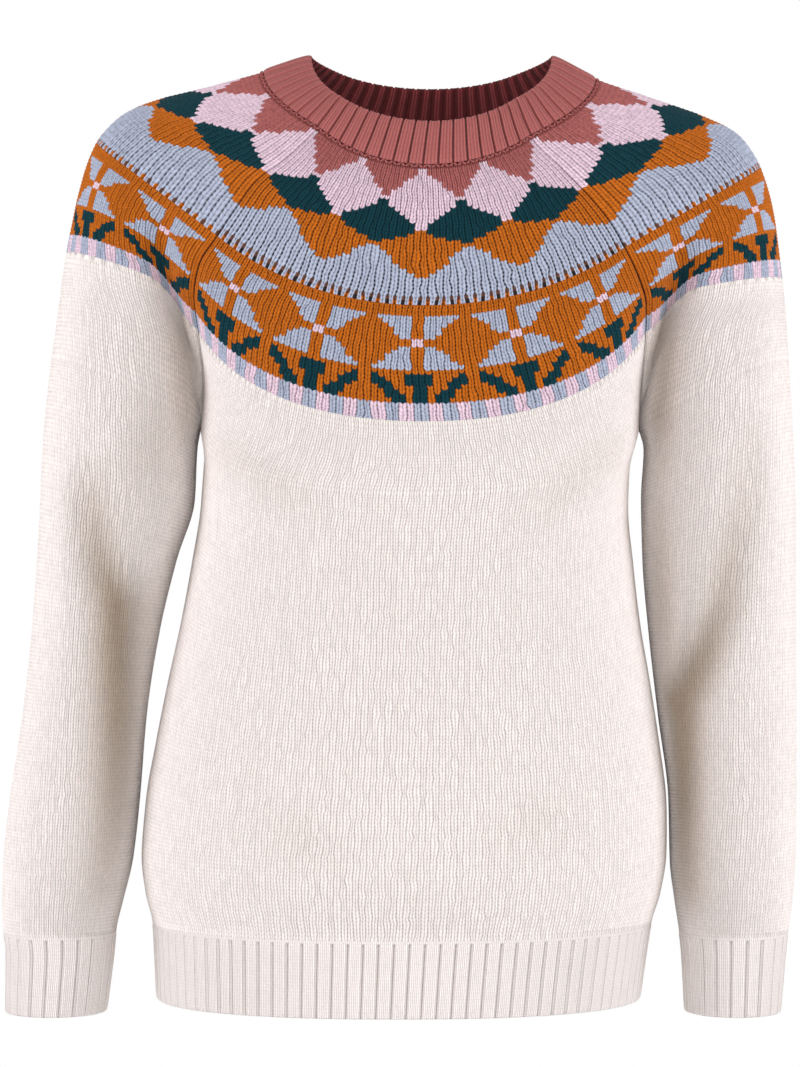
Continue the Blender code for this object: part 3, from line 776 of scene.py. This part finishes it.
def between(a, b):
    """Faces from line a to line b: their point numbers, places across and stations."""
    keys = ("index", "across", "station")
    if len(a["index"]) == len(b["index"]):
        return [
            np.stack([a[k][:-1], a[k][1:], b[k][1:], b[k][:-1]], axis=1) for k in keys
        ]
    key = "across" if a.get("key", "across") == "across" else "station"
    places, i, j = [], 0, 0
    while i + j < len(a["index"]) + len(b["index"]) - 2:
        next_a = a[key][i + 1] if i + 1 < len(a["index"]) else np.inf
        next_b = b[key][j + 1] if j + 1 < len(b["index"]) else np.inf
        if next_a <= next_b:
            places.append(((a, i), (a, i + 1), (b, j)))
            i += 1
        else:
            places.append(((a, i), (b, j + 1), (b, j)))
            j += 1
    return [np.array([[line[k][p] for line, p in corners] for corners in places]) for k in keys]


def side_line(rows, end):
    """The open side edge of a panel, from its neck edge down to the underarm."""
    upper = [row for row in rows if not row["ring"]] + [row for row in rows if row["ring"]][:1]
    return {
        "index": np.array([row["index"][end] for row in upper]),
        "across": np.array([row["across"][end] for row in upper]),
        "station": np.array([row["station"][end] for row in upper]),
        "key": "station",
    }


print("rows are joined by quads, or by triangles where the number of wales changes")

# %% [markdown]
# ## Make and dye the piece
# The stitch grid is kept as a UV map, which lets the material draw the fibres of each stitch.
# The yarn of each face is kept as a colour, a little uneven as dyed wool is and darkened by
# painted shade in the creases. Smooth shading would run round the sharp ends of the cloth and
# darken them, so the edges of the closing strips stay sharp.

# %% Make a piece with its grid and its dyes
# painted gap shade: more at the looser foot of the blue ring, less in the tighter sleeves
RING_GAP_SHADE = 0.5  # how much looser the blue ring is at its foot
SLEEVE_GAP_SHADE = 0.75
rng = np.random.default_rng(11)  # for the unevenness of the dye


def shade_smooth(mesh, smooth):
    """Shades the marked faces smoothly. All edges of the other faces stay sharp."""
    mesh.polygons.foreach_set("use_smooth", smooth)
    smooth = np.array(smooth, bool)
    corners = np.empty(len(mesh.polygons), np.int32)
    mesh.polygons.foreach_get("loop_total", corners)
    edge_of_corner = np.empty(len(mesh.loops), np.int32)
    mesh.loops.foreach_get("edge_index", edge_of_corner)
    sharp = np.zeros(len(mesh.edges), bool)
    sharp[edge_of_corner[np.repeat(~smooth, corners)]] = True
    edges = mesh.attributes.new("sharp_edge", "BOOLEAN", "EDGE")
    edges.data.foreach_set("value", sharp)


def as_piece(name, points, faces, grid, smooth, materials):
    """Makes a piece from points in mm, with the stitch grid as its UV map."""
    mesh = bpy.data.meshes.new(name)
    mesh.from_pydata((points * MM).tolist(), [], faces)
    layer = mesh.uv_layers.new(name="knit")
    layer.data.foreach_set("uv", np.asarray(grid, np.float32).ravel())
    shade_smooth(mesh, smooth)
    for material in materials:
        mesh.materials.append(material)
    piece = bpy.data.objects.new(name + "_knit", mesh)
    bpy.context.scene.collection.objects.link(piece)
    print(piece.name, "triangles:", sum(len(face) - 2 for face in faces))
    return piece


def keep_value(piece, key, values):
    """Keeps one value for each corner of each face, for the material to read."""
    attribute = piece.data.attributes.new(key, "FLOAT", "CORNER")
    attribute.data.foreach_set("value", np.asarray(values, np.float32))


def dye_panel(name, points, groups, material):
    """Makes a panel and dyes it face by face, with painted shade in its creases. The last four groups are
    its edges.
    """
    flip = surfaces[name]["sign"] < 0
    faces, grid, colours, painted_gap_shade, round_edges = [], [], [], [], []
    for k, ((index, across, station), belt, letters) in enumerate(groups):
        kind, first, last, wales, knitted, _ = belt
        middle_station = station.mean(axis=1)
        shares = share_of(name, middle_station, across.mean(axis=1))
        if flip:
            index, across, station = index[:, ::-1], across[:, ::-1], station[:, ::-1]
        faces += index.tolist()
        round_edges += [k < len(groups) - 4] * len(index)
        rows = (station - first) / (last - first) * knitted
        grid.append(np.stack([across * wales, rows], axis=-1).reshape(-1, 2))
        dye = np.array([YARNS_AND_PAINTED_SHADES[letter] for letter in letters])
        uneven = PLAIN_UNEVEN if kind == "plain" else YOKE_UNEVEN
        dye = dye * (1.0 + uneven * rng.uniform(-1.0, 1.0, (len(letters), 1)))
        # painted shade in the creases darkens the dye
        crease_painted_shade = read_grid(surfaces[name], "crease_painted_shade", middle_station, shares)
        dye = dye * (1.0 - crease_painted_shade[:, None] * PAINTED_CREASE_SHADE)
        # painted shade in the gaps between the wales, for the material to draw
        loose = np.array([GAP_SHADE_BY_YARN[letter] for letter in letters])
        if kind == "diamonds":
            loose = loose + (letters == "B") * RING_GAP_SHADE * fade((middle_station - 0.46) / 0.16)
        if is_sleeve(name):
            loose = loose * SLEEVE_GAP_SHADE
        corners = index.shape[1]
        colours.append(np.repeat(np.hstack([dye, np.ones((len(dye), 1))]), corners, axis=0))
        painted_gap_shade.append(np.repeat(loose, corners))
    piece = as_piece(name, points, faces, np.concatenate(grid), round_edges, [material])
    yarn = piece.data.color_attributes.new("yarn", "FLOAT_COLOR", "CORNER")
    yarn.data.foreach_set("color", np.concatenate(colours).astype(np.float32).ravel())
    keep_value(piece, "painted_gap_shade", np.concatenate(painted_gap_shade))
    return piece


print("dye varies by", PLAIN_UNEVEN, "in the cream and", YOKE_UNEVEN, "in the yoke")

# %% [markdown]
# ## From rows to a knitted panel
# The outside has all the rows of points, and the inside only a few, because it is seen just
# through the neck. Four narrow strips of faces close the shell between them, along the neck,
# the ribs and the two seams. The yarn of a face comes from the charts above.

# %% Knit a panel
def yarn_letters(name, belt, across, row):
    """The yarn of each face of one row of stitches."""
    kind, first, last, wales, knitted, _ = belt
    wale = np.floor(np.clip(across, 0.0, 0.99999) * wales)
    turn = round_share(name, (wale + 0.5) / wales)
    row = min(int(row), knitted - 1)
    if kind == "diamonds":
        station = first + (last - first) * (row + 0.5) / knitted
        yarn = yarn_of_diamonds(turn, np.full(turn.shape, station))
        # the first row is painted shade under the linking row
        if row == 0:
            yarn[:] = "S"
        holes = HOLE_ROWS["sleeve" if is_sleeve(name) else "body"]
        # the gaps of the last rows get the painted shade seen through the holes
        if row >= knitted - len(holes):
            even, odd = holes[row - knitted]
            gap = np.round(across * wales)
            beside = np.abs(across * wales - gap) < 0.25
            yarn[beside] = np.where(gap[beside] % 2.0 == 0.0, even, odd)
        return yarn
    if kind == "flowers":
        return yarn_of_flowers(turn, np.full(turn.shape, row))
    return np.full(turn.shape, "C")


def yarn_at(name, belts, across, station):
    """The yarn of the one stitch at a place of a panel."""
    belt = ([belt for belt in belts if belt.first <= station] or belts[:1])[-1]
    row = (station - belt.first) / (belt.last - belt.first) * belt.knitted
    return yarn_letters(name, belt, np.array([across]), min(row, belt.knitted - 1))[0]


def knit(name, belts, material):
    """Knits one panel: its outside stitch by stitch, its inside and its edges more coarsely."""
    outer, inner = [], []
    for belt, above in zip(belts, [None] + belts):
        shared = 1 if above and above.last == belt.first else 0
        labels = np.linspace(0.0, belt.knitted, belt.face_rows + 1)[shared:]
        few = np.linspace(0.0, belt.knitted, max(belt.face_rows // 5, 2) + 1)[shared:]
        outer += [row_of_points(name, belt, label, 4 * belt.wales) for label in labels]
        inner += [row_of_points(name, belt, label, belt.wales, inside=True) for label in few]
    outer_points, count = indexed(outer, 0)
    inner_points, count = indexed(inner, count)

    groups = []
    for rows, is_inner in ((outer, False), (inner, True)):
        for a, b in zip(rows, rows[1:]):
            top = a["label"] if a["belt"] is b["belt"] else 0.0
            middle = (top + b["label"]) / 2.0
            faces = between(b, a) if is_inner else between(a, b)
            letters = yarn_letters(name, b["belt"], faces[1].mean(axis=1), middle)
            groups.append((faces, b["belt"], letters))
    edges = [(inner[0], outer[0]), (outer[-1], inner[-1])]
    edges += [(side_line(outer, 0), side_line(inner, 0)), (side_line(inner, -1), side_line(outer, -1))]
    for k, (a, b) in enumerate(edges):
        faces = between(a, b)
        spots = zip(faces[1].mean(axis=1), faces[2].mean(axis=1))
        letters = np.array([yarn_at(name, belts, *spot) for spot in spots])
        groups.append((faces, belts[-1] if k == 1 else belts[0], letters))
    return dye_panel(name, np.concatenate(outer_points + inner_points), groups, material)


print("panels to knit:", ", ".join(PANELS))

# %% [markdown]
# ## Wool
# One material serves all the knitting. The V of a stitch comes from the stitch grid in the UV
# map: two legs rise from the middle of a wale to its sides, and each row bulges. Fine noise
# makes the fuzz of the yarn and varies its tone. The legs get painted light and the grooves
# painted shade, and the gaps between loose wales get painted dark shade.

# %% Small helpers for material nodes
def maths(tree, kind, *inputs):
    """One step of arithmetic on outputs and numbers."""
    node = tree.nodes.new("ShaderNodeMath")
    node.operation = kind
    for socket, value in zip(node.inputs, inputs):
        if isinstance(value, (int, float)):
            socket.default_value = value
        else:
            tree.links.new(value, socket)
    return node.outputs[0]


def ramp(tree, value, low, high):
    """0 below low, 1 above high, smooth between."""
    node = tree.nodes.new("ShaderNodeMapRange")
    node.interpolation_type = "SMOOTHSTEP"
    node.inputs["From Min"].default_value = low
    node.inputs["From Max"].default_value = high
    tree.links.new(value, node.inputs["Value"])
    return node.outputs["Result"]


def noise(tree, scale, detail):
    """Noise that stays in place on the piece."""
    where = tree.nodes.new("ShaderNodeTexCoord")
    node = tree.nodes.new("ShaderNodeTexNoise")
    node.inputs["Scale"].default_value = scale
    node.inputs["Detail"].default_value = detail
    tree.links.new(where.outputs["Object"], node.inputs["Vector"])
    return node.outputs["Fac"]


def attribute(tree, name, output="Fac"):
    """Something that was kept for each corner of the faces."""
    node = tree.nodes.new("ShaderNodeAttribute")
    node.attribute_name = name
    return node.outputs[output]


def matt_wool(name, sheen=0.0):
    """A new material that reflects light as dull as wool does."""
    material = bpy.data.materials.new(name)
    material.use_nodes = True
    shader = material.node_tree.nodes["Principled BSDF"]
    shader.inputs["Roughness"].default_value = 0.92
    shader.inputs["Specular IOR Level"].default_value = 0.08
    shader.inputs["Sheen Weight"].default_value = sheen
    shader.inputs["Sheen Roughness"].default_value = 0.5
    return material


def raise_surface(tree, height, strength, distance):
    """Gives the surface a fine relief. The distance is in metres."""
    bump = tree.nodes.new("ShaderNodeBump")
    bump.inputs["Strength"].default_value = strength
    bump.inputs["Distance"].default_value = distance
    tree.links.new(height, bump.inputs["Height"])
    tree.links.new(bump.outputs["Normal"], tree.nodes["Principled BSDF"].inputs["Normal"])


def dye_surface(tree, colour, shade):
    """Colours the surface with a fixed colour or one from a node, times a shade."""
    tint = tree.nodes.new("ShaderNodeVectorMath")
    tint.operation = "SCALE"
    if isinstance(colour, bpy.types.NodeSocket):
        tree.links.new(colour, tint.inputs[0])
    else:
        tint.inputs[0].default_value = colour
    tree.links.new(shade, tint.inputs["Scale"])
    tree.links.new(tint.outputs["Vector"], tree.nodes["Principled BSDF"].inputs["Base Color"])


print("helpers make noise, relief and dye for any wool")

# %% [markdown]
# ## The wool of the knitting
# The grid tells the material where it is in a stitch. Each leg of the V is rounded across and
# bulges along, and the rows lean up to the middle of the wale. The legs get painted light and
# the grooves painted shade. Loosely knitted stitches get painted dark shade in the gap between
# the wales and in a slit in the middle, where the eye looks through the cloth. Ribs have one
# colour, with painted shade in their grooves.

# %% Build the wool materials
FIBRES = 1500.0, 3.0  # scale and detail of the noise
CLOUDS = 90.0, 2.0
FIBRE_HEIGHT = 0.45  # against the height of a stitch
ROUNDING = 0.7  # below 1, the legs of a stitch are flatter on top
STITCH_BUMP, STITCH_HEIGHT = 0.85, 0.0008  # strength, and height in m
# How much each of them changes the dye, and the dye without it. The stitch relief paints light
# on the legs and shade in the grooves; the fibres and the clouds vary the tone at random.
STITCH_LIGHT = 0.42, 0.74
FIBRE_TONE = 0.34, 0.83
CLOUD_TONE = 0.05, 0.975
# Where the painted dark shade of the gaps and slits starts and ends, on a scale from the middle
# of a wale (0) to its edge (1).
GAP_ACROSS, GAP_ALONG = (0.62, 0.93), (-0.35, 0.55)
SLIT_ACROSS, SLIT_ALONG = (0.30, 0.0), (0.75, 0.2)
SLIT_SHARE, DARKEST_GAP = 0.55, 0.95


def wool(name, colour=None, groove_shade=0.0, row_relief=0.38, sheen=0.06):
    """Knitted wool. Without a colour it takes the yarn of each stitch, and with one it is ribbed."""
    material = matt_wool(name, sheen)
    tree = material.node_tree

    def times(a, b):
        return maths(tree, "MULTIPLY", a, b)

    def minus(a, b):
        return maths(tree, "SUBTRACT", a, b)

    def light(value, amount, base):
        return maths(tree, "ADD", times(value, amount), base)

    grid = tree.nodes.new("ShaderNodeUVMap")
    grid.uv_map = "knit"
    split = tree.nodes.new("ShaderNodeSeparateXYZ")
    tree.links.new(grid.outputs["UV"], split.inputs[0])
    across, down = split.outputs[0], split.outputs[1]
    side = times(maths(tree, "ABSOLUTE", minus(maths(tree, "FRACT", across), 0.5)), 2.0)
    place = maths(tree, "ADD", down, times(minus(side, 0.5), LEG_TILT))
    bulge = maths(tree, "SINE", times(maths(tree, "FRACT", place), math.pi))
    leg = maths(tree, "MAXIMUM", maths(tree, "SINE", times(side, math.pi)), 0.0)
    leg = maths(tree, "POWER", leg, ROUNDING)
    body = light(maths(tree, "POWER", bulge, ROUNDING), row_relief, 1.0 - row_relief)
    stitch = times(leg, body)

    fibres = noise(tree, *FIBRES)
    height = maths(tree, "ADD", stitch, times(fibres, FIBRE_HEIGHT))
    raise_surface(tree, height, STITCH_BUMP, STITCH_HEIGHT)
    # painted light on the legs and painted shade in the grooves, times the random tone of fibres and
    # clouds
    shade = times(light(stitch, *STITCH_LIGHT), light(fibres, *FIBRE_TONE))
    shade = times(shade, light(noise(tree, *CLOUDS), *CLOUD_TONE))

    if colour is None:
        colour = attribute(tree, "yarn", "Color")
        loose = attribute(tree, "painted_gap_shade")
        # painted dark shade in the gaps between the wales and in the slit of each loose stitch, where the
        # eye looks through the cloth
        between_rows = ramp(tree, minus(1.0, bulge), *GAP_ALONG)
        gap = times(times(ramp(tree, side, *GAP_ACROSS), loose), between_rows)
        slit = times(times(ramp(tree, side, *SLIT_ACROSS), loose), ramp(tree, bulge, *SLIT_ALONG))
        dark = maths(tree, "ADD", gap, times(slit, SLIT_SHARE))
        dark = maths(tree, "MINIMUM", dark, DARKEST_GAP)
    else:
        # painted shade in the grooves of the ribs, from their depth
        dark = times(attribute(tree, "hollow"), groove_shade)
    dye_surface(tree, colour, times(shade, minus(1.0, dark)))
    return material


knitted_wool = wool("knitted_wool")
# groove_shade sets the painted shade in the grooves of each rib
cream_rib = wool("cream_rib", (0.855, 0.785, 0.735), groove_shade=0.14, row_relief=0.3)
rose_rib = wool("rose_rib", YARNS_AND_PAINTED_SHADES["R"], groove_shade=0.28, row_relief=0.25)
# the inside of the neckband: the rose rib, darkened with painted shade
rose_rib_painted_shade = wool("rose_rib_painted_shade", (0.202, 0.036, 0.037), groove_shade=0.55, row_relief=0.25)
print("materials:", [m.name for m in (knitted_wool, cream_rib, rose_rib, rose_rib_painted_shade)])

# %% [markdown]
# ## Knit the four panels
# The four panels are knitted one by one, from the neck down, and sewn together along their
# edges. Each is a closed shell of outside, inside and edges here, so it is whole when it is seen
# alone.

# %% Front, back and sleeves
pieces = {}
for name in PANELS:
    pieces[name] = knit(name, BELTS["sleeve" if is_sleeve(name) else "body"], knitted_wool)

# %% [markdown]
# ## Ribs
# The hem and the cuffs are knitted two by two: each repeat is a raised strip of two wales and a
# recess of two. The neckband is a double band of narrower ribs, folded over at its top.

# %% Sections and places of the ribs
HEM_RIBS, CUFF_RIBS, NECK_RIBS = 47, 22, 64
BAND_FOOT, CUFF_SPAN, HEM_SPAN = 0.145, 0.159, 0.152  # heights of the bands, in stations
LOWER_RIB = (
    # share of one repeat, height in rib depths
    (0.0, -0.9), (0.05, -1.0), (0.09, -0.7), (0.13, 0.12), (0.20, 0.26), (0.34, 0.03),
    (0.5, -0.04), (0.66, 0.03), (0.80, 0.26), (0.87, 0.12), (0.91, -0.7), (0.95, -1.0),
)
NECK_RIB = (
    (0.0, -1.0), (0.04, -0.9), (0.085, -0.2), (0.13, 0.22), (0.20, 0.30), (0.32, 0.02),
    (0.5, -0.05), (0.68, 0.02), (0.80, 0.30), (0.87, 0.22), (0.915, -0.2), (0.96, -0.9),
)
LOWER_DEPTH, NECK_DEPTH = 1.3, 1.8
GROOVE_TOP = 0.035  # share of a lower rib's height where its grooves begin
GROOVE_RUN = 0.018  # share over which they reach their full depth
# the painted shade in the grooves is strongest just below the top, where they begin
GROOVE_FOOT = 0.055, 0.02, 1.1  # place, length and strength of the shade where they begin
NOTCH = 1.3  # how far the neckband's grooves cut into its top, mm
NOTCH_SHARE = 0.15  # share of the band's height that they reach
NOTCH_FRONT = 10.0, 25.0  # they show in front only, and fade over this distance, mm
BAND_END, BAND_RUN = 1.06, 0.08  # the neckband's ribs fade out where it is linked on
INNER_RIBS, INNER_NECK_RIBS = 0.45, 0.6  # depth of the ribs inside, against the outside
LOWER_SECTION = (
    # share of the way down, how far out from the middle of the wall
    [(0.0, 0.45), (0.012, 0.47), (0.028, 0.49), (0.04, 0.5), (0.052, 0.5), (0.07, 0.5), (0.10, 0.5)]
    + [(down, 0.5) for down in np.linspace(0.15, 0.90, 13)]
    + [(0.94, 0.46), (0.97, 0.36), (0.99, 0.1), (1.0, -0.4), (0.99, -0.9), (0.96, -1.2)]
    + [(down, -1.3) for down in (0.85, 0.6, 0.35, 0.15, 0.0)]
)
NECK_SECTION = (
    [(1.0, 0.9), (0.95, 1.5), (0.85, 1.8), (0.7, 1.9), (0.55, 1.9), (0.4, 1.9), (0.28, 1.8)]
    + [(0.17, 1.65), (0.09, 1.4), (0.03, 0.9), (0.0, 0.1), (0.03, -0.75), (0.1, -1.25)]
    + [(0.2, -1.4), (0.35, -1.4), (0.5, -1.4), (0.65, -1.4), (0.8, -1.4), (0.9, -1.4), (1.0, -1.2)]
)

print("ribs round the hem, a cuff and the neck:", 2 * HEM_RIBS, CUFF_RIBS, NECK_RIBS)

# %% [markdown]
# ## Where the bands lie
# The bands are knitted on, so they go on from the last course of the cloth. The cuffs and the
# neckband are knitted round and have no end. The neckband crosses all four panels.

# %% Lines along the bands
def rib_columns(ribs, profile):
    """Places round a band and the rib height at each, from one repeat's profile."""
    places = np.array([(rib + share) / ribs for rib in range(ribs) for share, _ in profile])
    heights = np.tile([height for _, height in profile], ribs)
    return places, heights


def neck_ring(down, places):
    """Points and normals round the neck, through the front, right sleeve, back and left sleeve."""
    def ring(station):
        points = np.empty((len(places), 3))
        normals = np.empty((len(places), 3))
        for k, name in enumerate(("front", "sleeve_right", "back", "sleeve_left")):
            own = np.floor(places * 4.0).astype(int) % 4 == k
            local = places[own] * 4.0 - k
            shares = 1.0 - local if name in ("back", "sleeve_left") else local
            stations = np.full(own.sum(), station)
            points[own], normals[own], _ = look_up(surfaces[name], stations, shares)
        return points, normals

    station = BAND_FOOT * down
    points, outwards = ring(station)
    lower, upper = ring(station + 0.02)[0], ring(max(station - 0.02, 0.0))[0]
    along = np.roll(points, -2, axis=0) - np.roll(points, 2, axis=0)
    normals = np.cross(along, lower - upper)
    normals /= np.linalg.norm(normals, axis=1, keepdims=True)
    normals *= np.sign((normals * outwards).sum(axis=1).mean())
    return points, normals


def cuff_ring(name, down, places):
    stations = np.full(len(places), RIB_TOP + CUFF_SPAN * down)
    return look_up(surfaces[name], stations, places)[:2]


def hem_line(name, down, places):
    stations = np.full(len(places), RIB_TOP + HEM_SPAN * down)
    return look_up(surfaces[name], stations, 0.0007 + places * 0.9986)[:2]


print("each neck panel has", NECK_RIBS // 4, "ribs of the band")

# %% [markdown]
# ## Sweep a section along a band
# A band has the same section all the way, rounded at its edge as knitted ribs are. It is swept
# along the course, raised on the ribs and sunk in the grooves. The grooves of the lower ribs
# begin softly at the top, where the plain cloth is drawn in.

# %% Make a ribbed band
def rib_band(name, course_of, section, ribs, profile, depth, rows, closed, materials, sign):
    """A ribbed band: each point of its section goes round the garment, raised on the ribs."""
    neck = len(materials) > 1
    places, heights = rib_columns(ribs, profile)
    if not closed:
        places, heights = np.append(places, 1.0), np.append(heights, heights[0])
    loops = []
    for down, out in section:
        points, normals = course_of(down, places)
        if neck and out < 0:
            turned = np.roll(heights, len(profile) // 2) * depth * INNER_NECK_RIBS
            lift = out - turned * fade(down / BAND_RUN)
        elif neck:
            lift = out + heights * depth * fade((BAND_END - down) / BAND_RUN)
        elif out < 0:
            lift = out + heights * depth * INNER_RIBS
        else:
            lift = out + heights * depth * fade((down - GROOVE_TOP) / GROOVE_RUN)
        if neck and down < NOTCH_SHARE:
            lower = course_of(down + 0.06, places)[0] - points
            fall = lower / np.linalg.norm(lower, axis=1, keepdims=True)
            notch = np.clip(-heights - 0.3, 0.0, 1.0) * NOTCH * (1.0 - down / NOTCH_SHARE)
            in_front = fade((-points[:, 1] - NOTCH_FRONT[0]) / NOTCH_FRONT[1])
            points = points + fall * (notch * in_front)[:, None]
        loops.append(points + normals * lift[:, None])
    count = len(places)
    points = np.concatenate(loops)
    faces, grid, inside, hollow = [], [], [], []
    # the depth of each groove, kept as hollow for the painted shade in it
    depths = np.clip(-heights, -0.4, 1.0)
    inner_depths = np.clip(-np.roll(heights, len(profile) // 2), -0.4, 1.0)

    def hollow_at(i, j):
        down, out = section[i]
        if neck:
            return float(inner_depths[j] if out < 0.5 else depths[j])
        # the foot paints extra shade at the top of each groove
        place, length, strength = GROOVE_FOOT
        foot = 1.0 + strength * math.exp(-(((down - place) / length) ** 2))
        return float(depths[j] * (fade((down - GROOVE_TOP) / GROOVE_RUN) * foot))

    wales = ribs * (2.0 if neck else 4.0)
    smooth_face = []
    last = len(loops)
    for i in range(last):
        k = (i + 1) % last
        v = [section[i][0] * rows, section[k][0] * rows]
        for j in range(count if closed else count - 1):
            m = (j + 1) % count
            u = [places[j] * wales, (places[m] if m else 1.0) * wales]
            corners = [i * count + j, i * count + m, k * count + m, k * count + j]
            spots = [(u[0], v[0]), (u[1], v[0]), (u[1], v[1]), (u[0], v[1])]
            faces.append(corners if sign > 0 else corners[::-1])
            grid += spots if sign > 0 else spots[::-1]
            around = [(i, j), (i, m), (k, m), (k, j)]
            hollow += [hollow_at(*spot) for spot in (around if sign > 0 else around[::-1])]
            inside.append(neck and section[i][1] < 0.5)
            smooth_face.append(i < last - 1)
    if not closed:
        for j, turned in ((0, False), (count - 1, True)):
            ring = [i * count + j for i in range(last)]
            turned = turned != (sign < 0)
            faces.append(ring[::-1] if not turned else ring)
            grid += [(0.0, 0.0)] * last
            hollow += [0.0] * last
            smooth_face.append(False)
    piece = as_piece(name, points, faces, grid, smooth_face, materials)
    keep_value(piece, "hollow", hollow)
    # the inside of the neckband takes the rose rib darkened with painted shade
    if neck:
        piece.data.polygons.foreach_set("material_index", np.array(inside, np.int32))
    return piece


print("rib depths in mm:", LOWER_DEPTH, NECK_DEPTH)

# %% [markdown]
# ## Knit the bands
# Stitches are picked up along the edges of the cloth, and the ribs are worked down from there.
# The hem is in two halves, one on the front and one on the back, which meet in the side seams.

# %% Knit the bands
pieces["neckband"] = rib_band(
    "neckband", neck_ring, NECK_SECTION, NECK_RIBS, NECK_RIB, NECK_DEPTH, 9, True,
    (rose_rib, rose_rib_painted_shade), 1.0
)
for side in ("left", "right"):
    sleeve = "sleeve_" + side
    pieces["cuff_" + side] = rib_band(
        "cuff_" + side, lambda down, places, s=sleeve: cuff_ring(s, down, places), LOWER_SECTION,
        CUFF_RIBS, LOWER_RIB, LOWER_DEPTH, 23, True, (cream_rib,), surfaces[sleeve]["sign"]
    )
for panel in ("front", "back"):
    pieces["hem_rib_" + panel] = rib_band(
        "hem_rib_" + panel, lambda down, places, p=panel: hem_line(p, down, places), LOWER_SECTION,
        HEM_RIBS, LOWER_RIB, LOWER_DEPTH, 24, False, (cream_rib,), surfaces[panel]["sign"]
    )

# %% [markdown]
# ## The linking row
# The neckband is linked to the yoke with one row of stitches. The linking yarn runs in a zigzag,
# up and down over each wale, and leaves small dark holes on both sides. Their dark is painted
# shade, in the first row of the yoke below. Here every stroke of the zigzag is a short plump
# grain of yarn.

# %% Link the neckband on
LINKS = 224
GRAIN = (1.65, 0.62, 0.65)  # half length along the lean, half width, half height, mm
GRAIN_LEAN = math.radians(44.0)
GRAIN_LIFT = 0.75  # mm above the form
GRAIN_BUMP, GRAIN_HEIGHT = 0.5, 0.0004  # strength, and height in m
GRAIN_SIDES = 6
LINK_LINE, LINE_BELOW = 1.045, 1.16  # places below the neck edge, in heights of the band

grain_rings = [(math.cos(a), math.sin(a)) for a in np.linspace(0.0, math.pi, 6)[1:-1]]
spins = np.linspace(0.0, 2.0 * math.pi, GRAIN_SIDES + 1)[:-1]
grain_points = [(1.0, 0.0, 0.0)]
grain_points += [(c, s * math.cos(t), s * math.sin(t)) for c, s in grain_rings for t in spins]
grain_points += [(-1.0, 0.0, 0.0)]
grain_points = np.array(grain_points) * np.array(GRAIN)
tip = len(grain_points) - 1
around_grain = [(s, (s + 1) % GRAIN_SIDES) for s in range(GRAIN_SIDES)]
grain_faces = [(0, 1 + s, 1 + t) for s, t in around_grain]
for r in range(len(grain_rings) - 1):
    start = 1 + GRAIN_SIDES * r
    end = start + GRAIN_SIDES
    grain_faces += [(start + s, end + s, end + t, start + t) for s, t in around_grain]
grain_faces += [(tip, tip - GRAIN_SIDES + t, tip - GRAIN_SIDES + s) for s, t in around_grain]

chain_points, chain_faces = [], []
places = (np.arange(LINKS) + 0.5) / LINKS
centres, outwards = neck_ring(LINK_LINE, places)
below = neck_ring(LINE_BELOW, places)[0] - centres
below /= np.linalg.norm(below, axis=1, keepdims=True)
around = np.cross(below, outwards)
around /= np.linalg.norm(around, axis=1, keepdims=True)
ways = np.where(np.arange(LINKS) % 2 == 0, 1.0, -1.0)[:, None]
lean = around * math.cos(GRAIN_LEAN) + below * ways * math.sin(GRAIN_LEAN)
wide = np.cross(outwards, lean)
for j in range(LINKS):
    axes = np.stack([lean[j], wide[j], outwards[j]])
    start = len(chain_points) * len(grain_points)
    chain_points.append(centres[j] + outwards[j] * GRAIN_LIFT + grain_points @ axes)
    chain_faces += [tuple(start + corner for corner in face) for face in grain_faces]
chain_mesh = bpy.data.meshes.new("linking_row")
chain_mesh.from_pydata((np.concatenate(chain_points) * MM).tolist(), [], chain_faces)
chain_mesh.shade_smooth()
rose_yarn = matt_wool("rose_yarn")
yarn_tree = rose_yarn.node_tree
yarn_fibres = noise(yarn_tree, *FIBRES)
raise_surface(yarn_tree, yarn_fibres, GRAIN_BUMP, GRAIN_HEIGHT)
fleck = maths(yarn_tree, "MULTIPLY", yarn_fibres, FIBRE_TONE[0])
dye_surface(yarn_tree, YARNS_AND_PAINTED_SHADES["R"], maths(yarn_tree, "ADD", fleck, FIBRE_TONE[1]))
chain_mesh.materials.append(rose_yarn)
linking_row = bpy.data.objects.new("linking_row", chain_mesh)
bpy.context.scene.collection.objects.link(linking_row)
print("linking row:", LINKS, "stitches")

# %% [markdown]
# ## Hand the pieces over
# Every piece rides on the one body of the part and stands in for its own CAD solid. The flat
# sizes are the cuts that a knitter would make, measured before the pieces are joined.

# %% Replace the solids and measure the cloth
FLAT = {
    # width and length in m, share of that rectangle that the piece fills
    "front": (0.450, 0.493, 0.885),
    "back": (0.438, 0.525, 0.857),
    "sleeve_left": (0.362, 0.638, 0.737),
    "sleeve_right": (0.363, 0.625, 0.752),
    "neckband": (0.550, 0.036, 1.0),
    "hem_rib_front": (0.444, 0.050, 1.0),
    "hem_rib_back": (0.432, 0.050, 1.0),
    "cuff_left": (0.220, 0.050, 1.0),
    "cuff_right": (0.215, 0.050, 1.0),
}


def half_surface(piece):
    """Half of a closed shell's surface, which is the area of its cloth."""
    return sum(face.area for face in piece.data.polygons) / 2.0


for name, piece in pieces.items():
    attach(piece, "root")
    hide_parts(name)
    width, length, filled = FLAT[name]
    print(name, "cloth", round(half_surface(piece), 4), "m2, cut", round(width * length * filled, 4))
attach(linking_row, "root")
for name, piece in pieces.items():
    width, length, filled = FLAT[name]
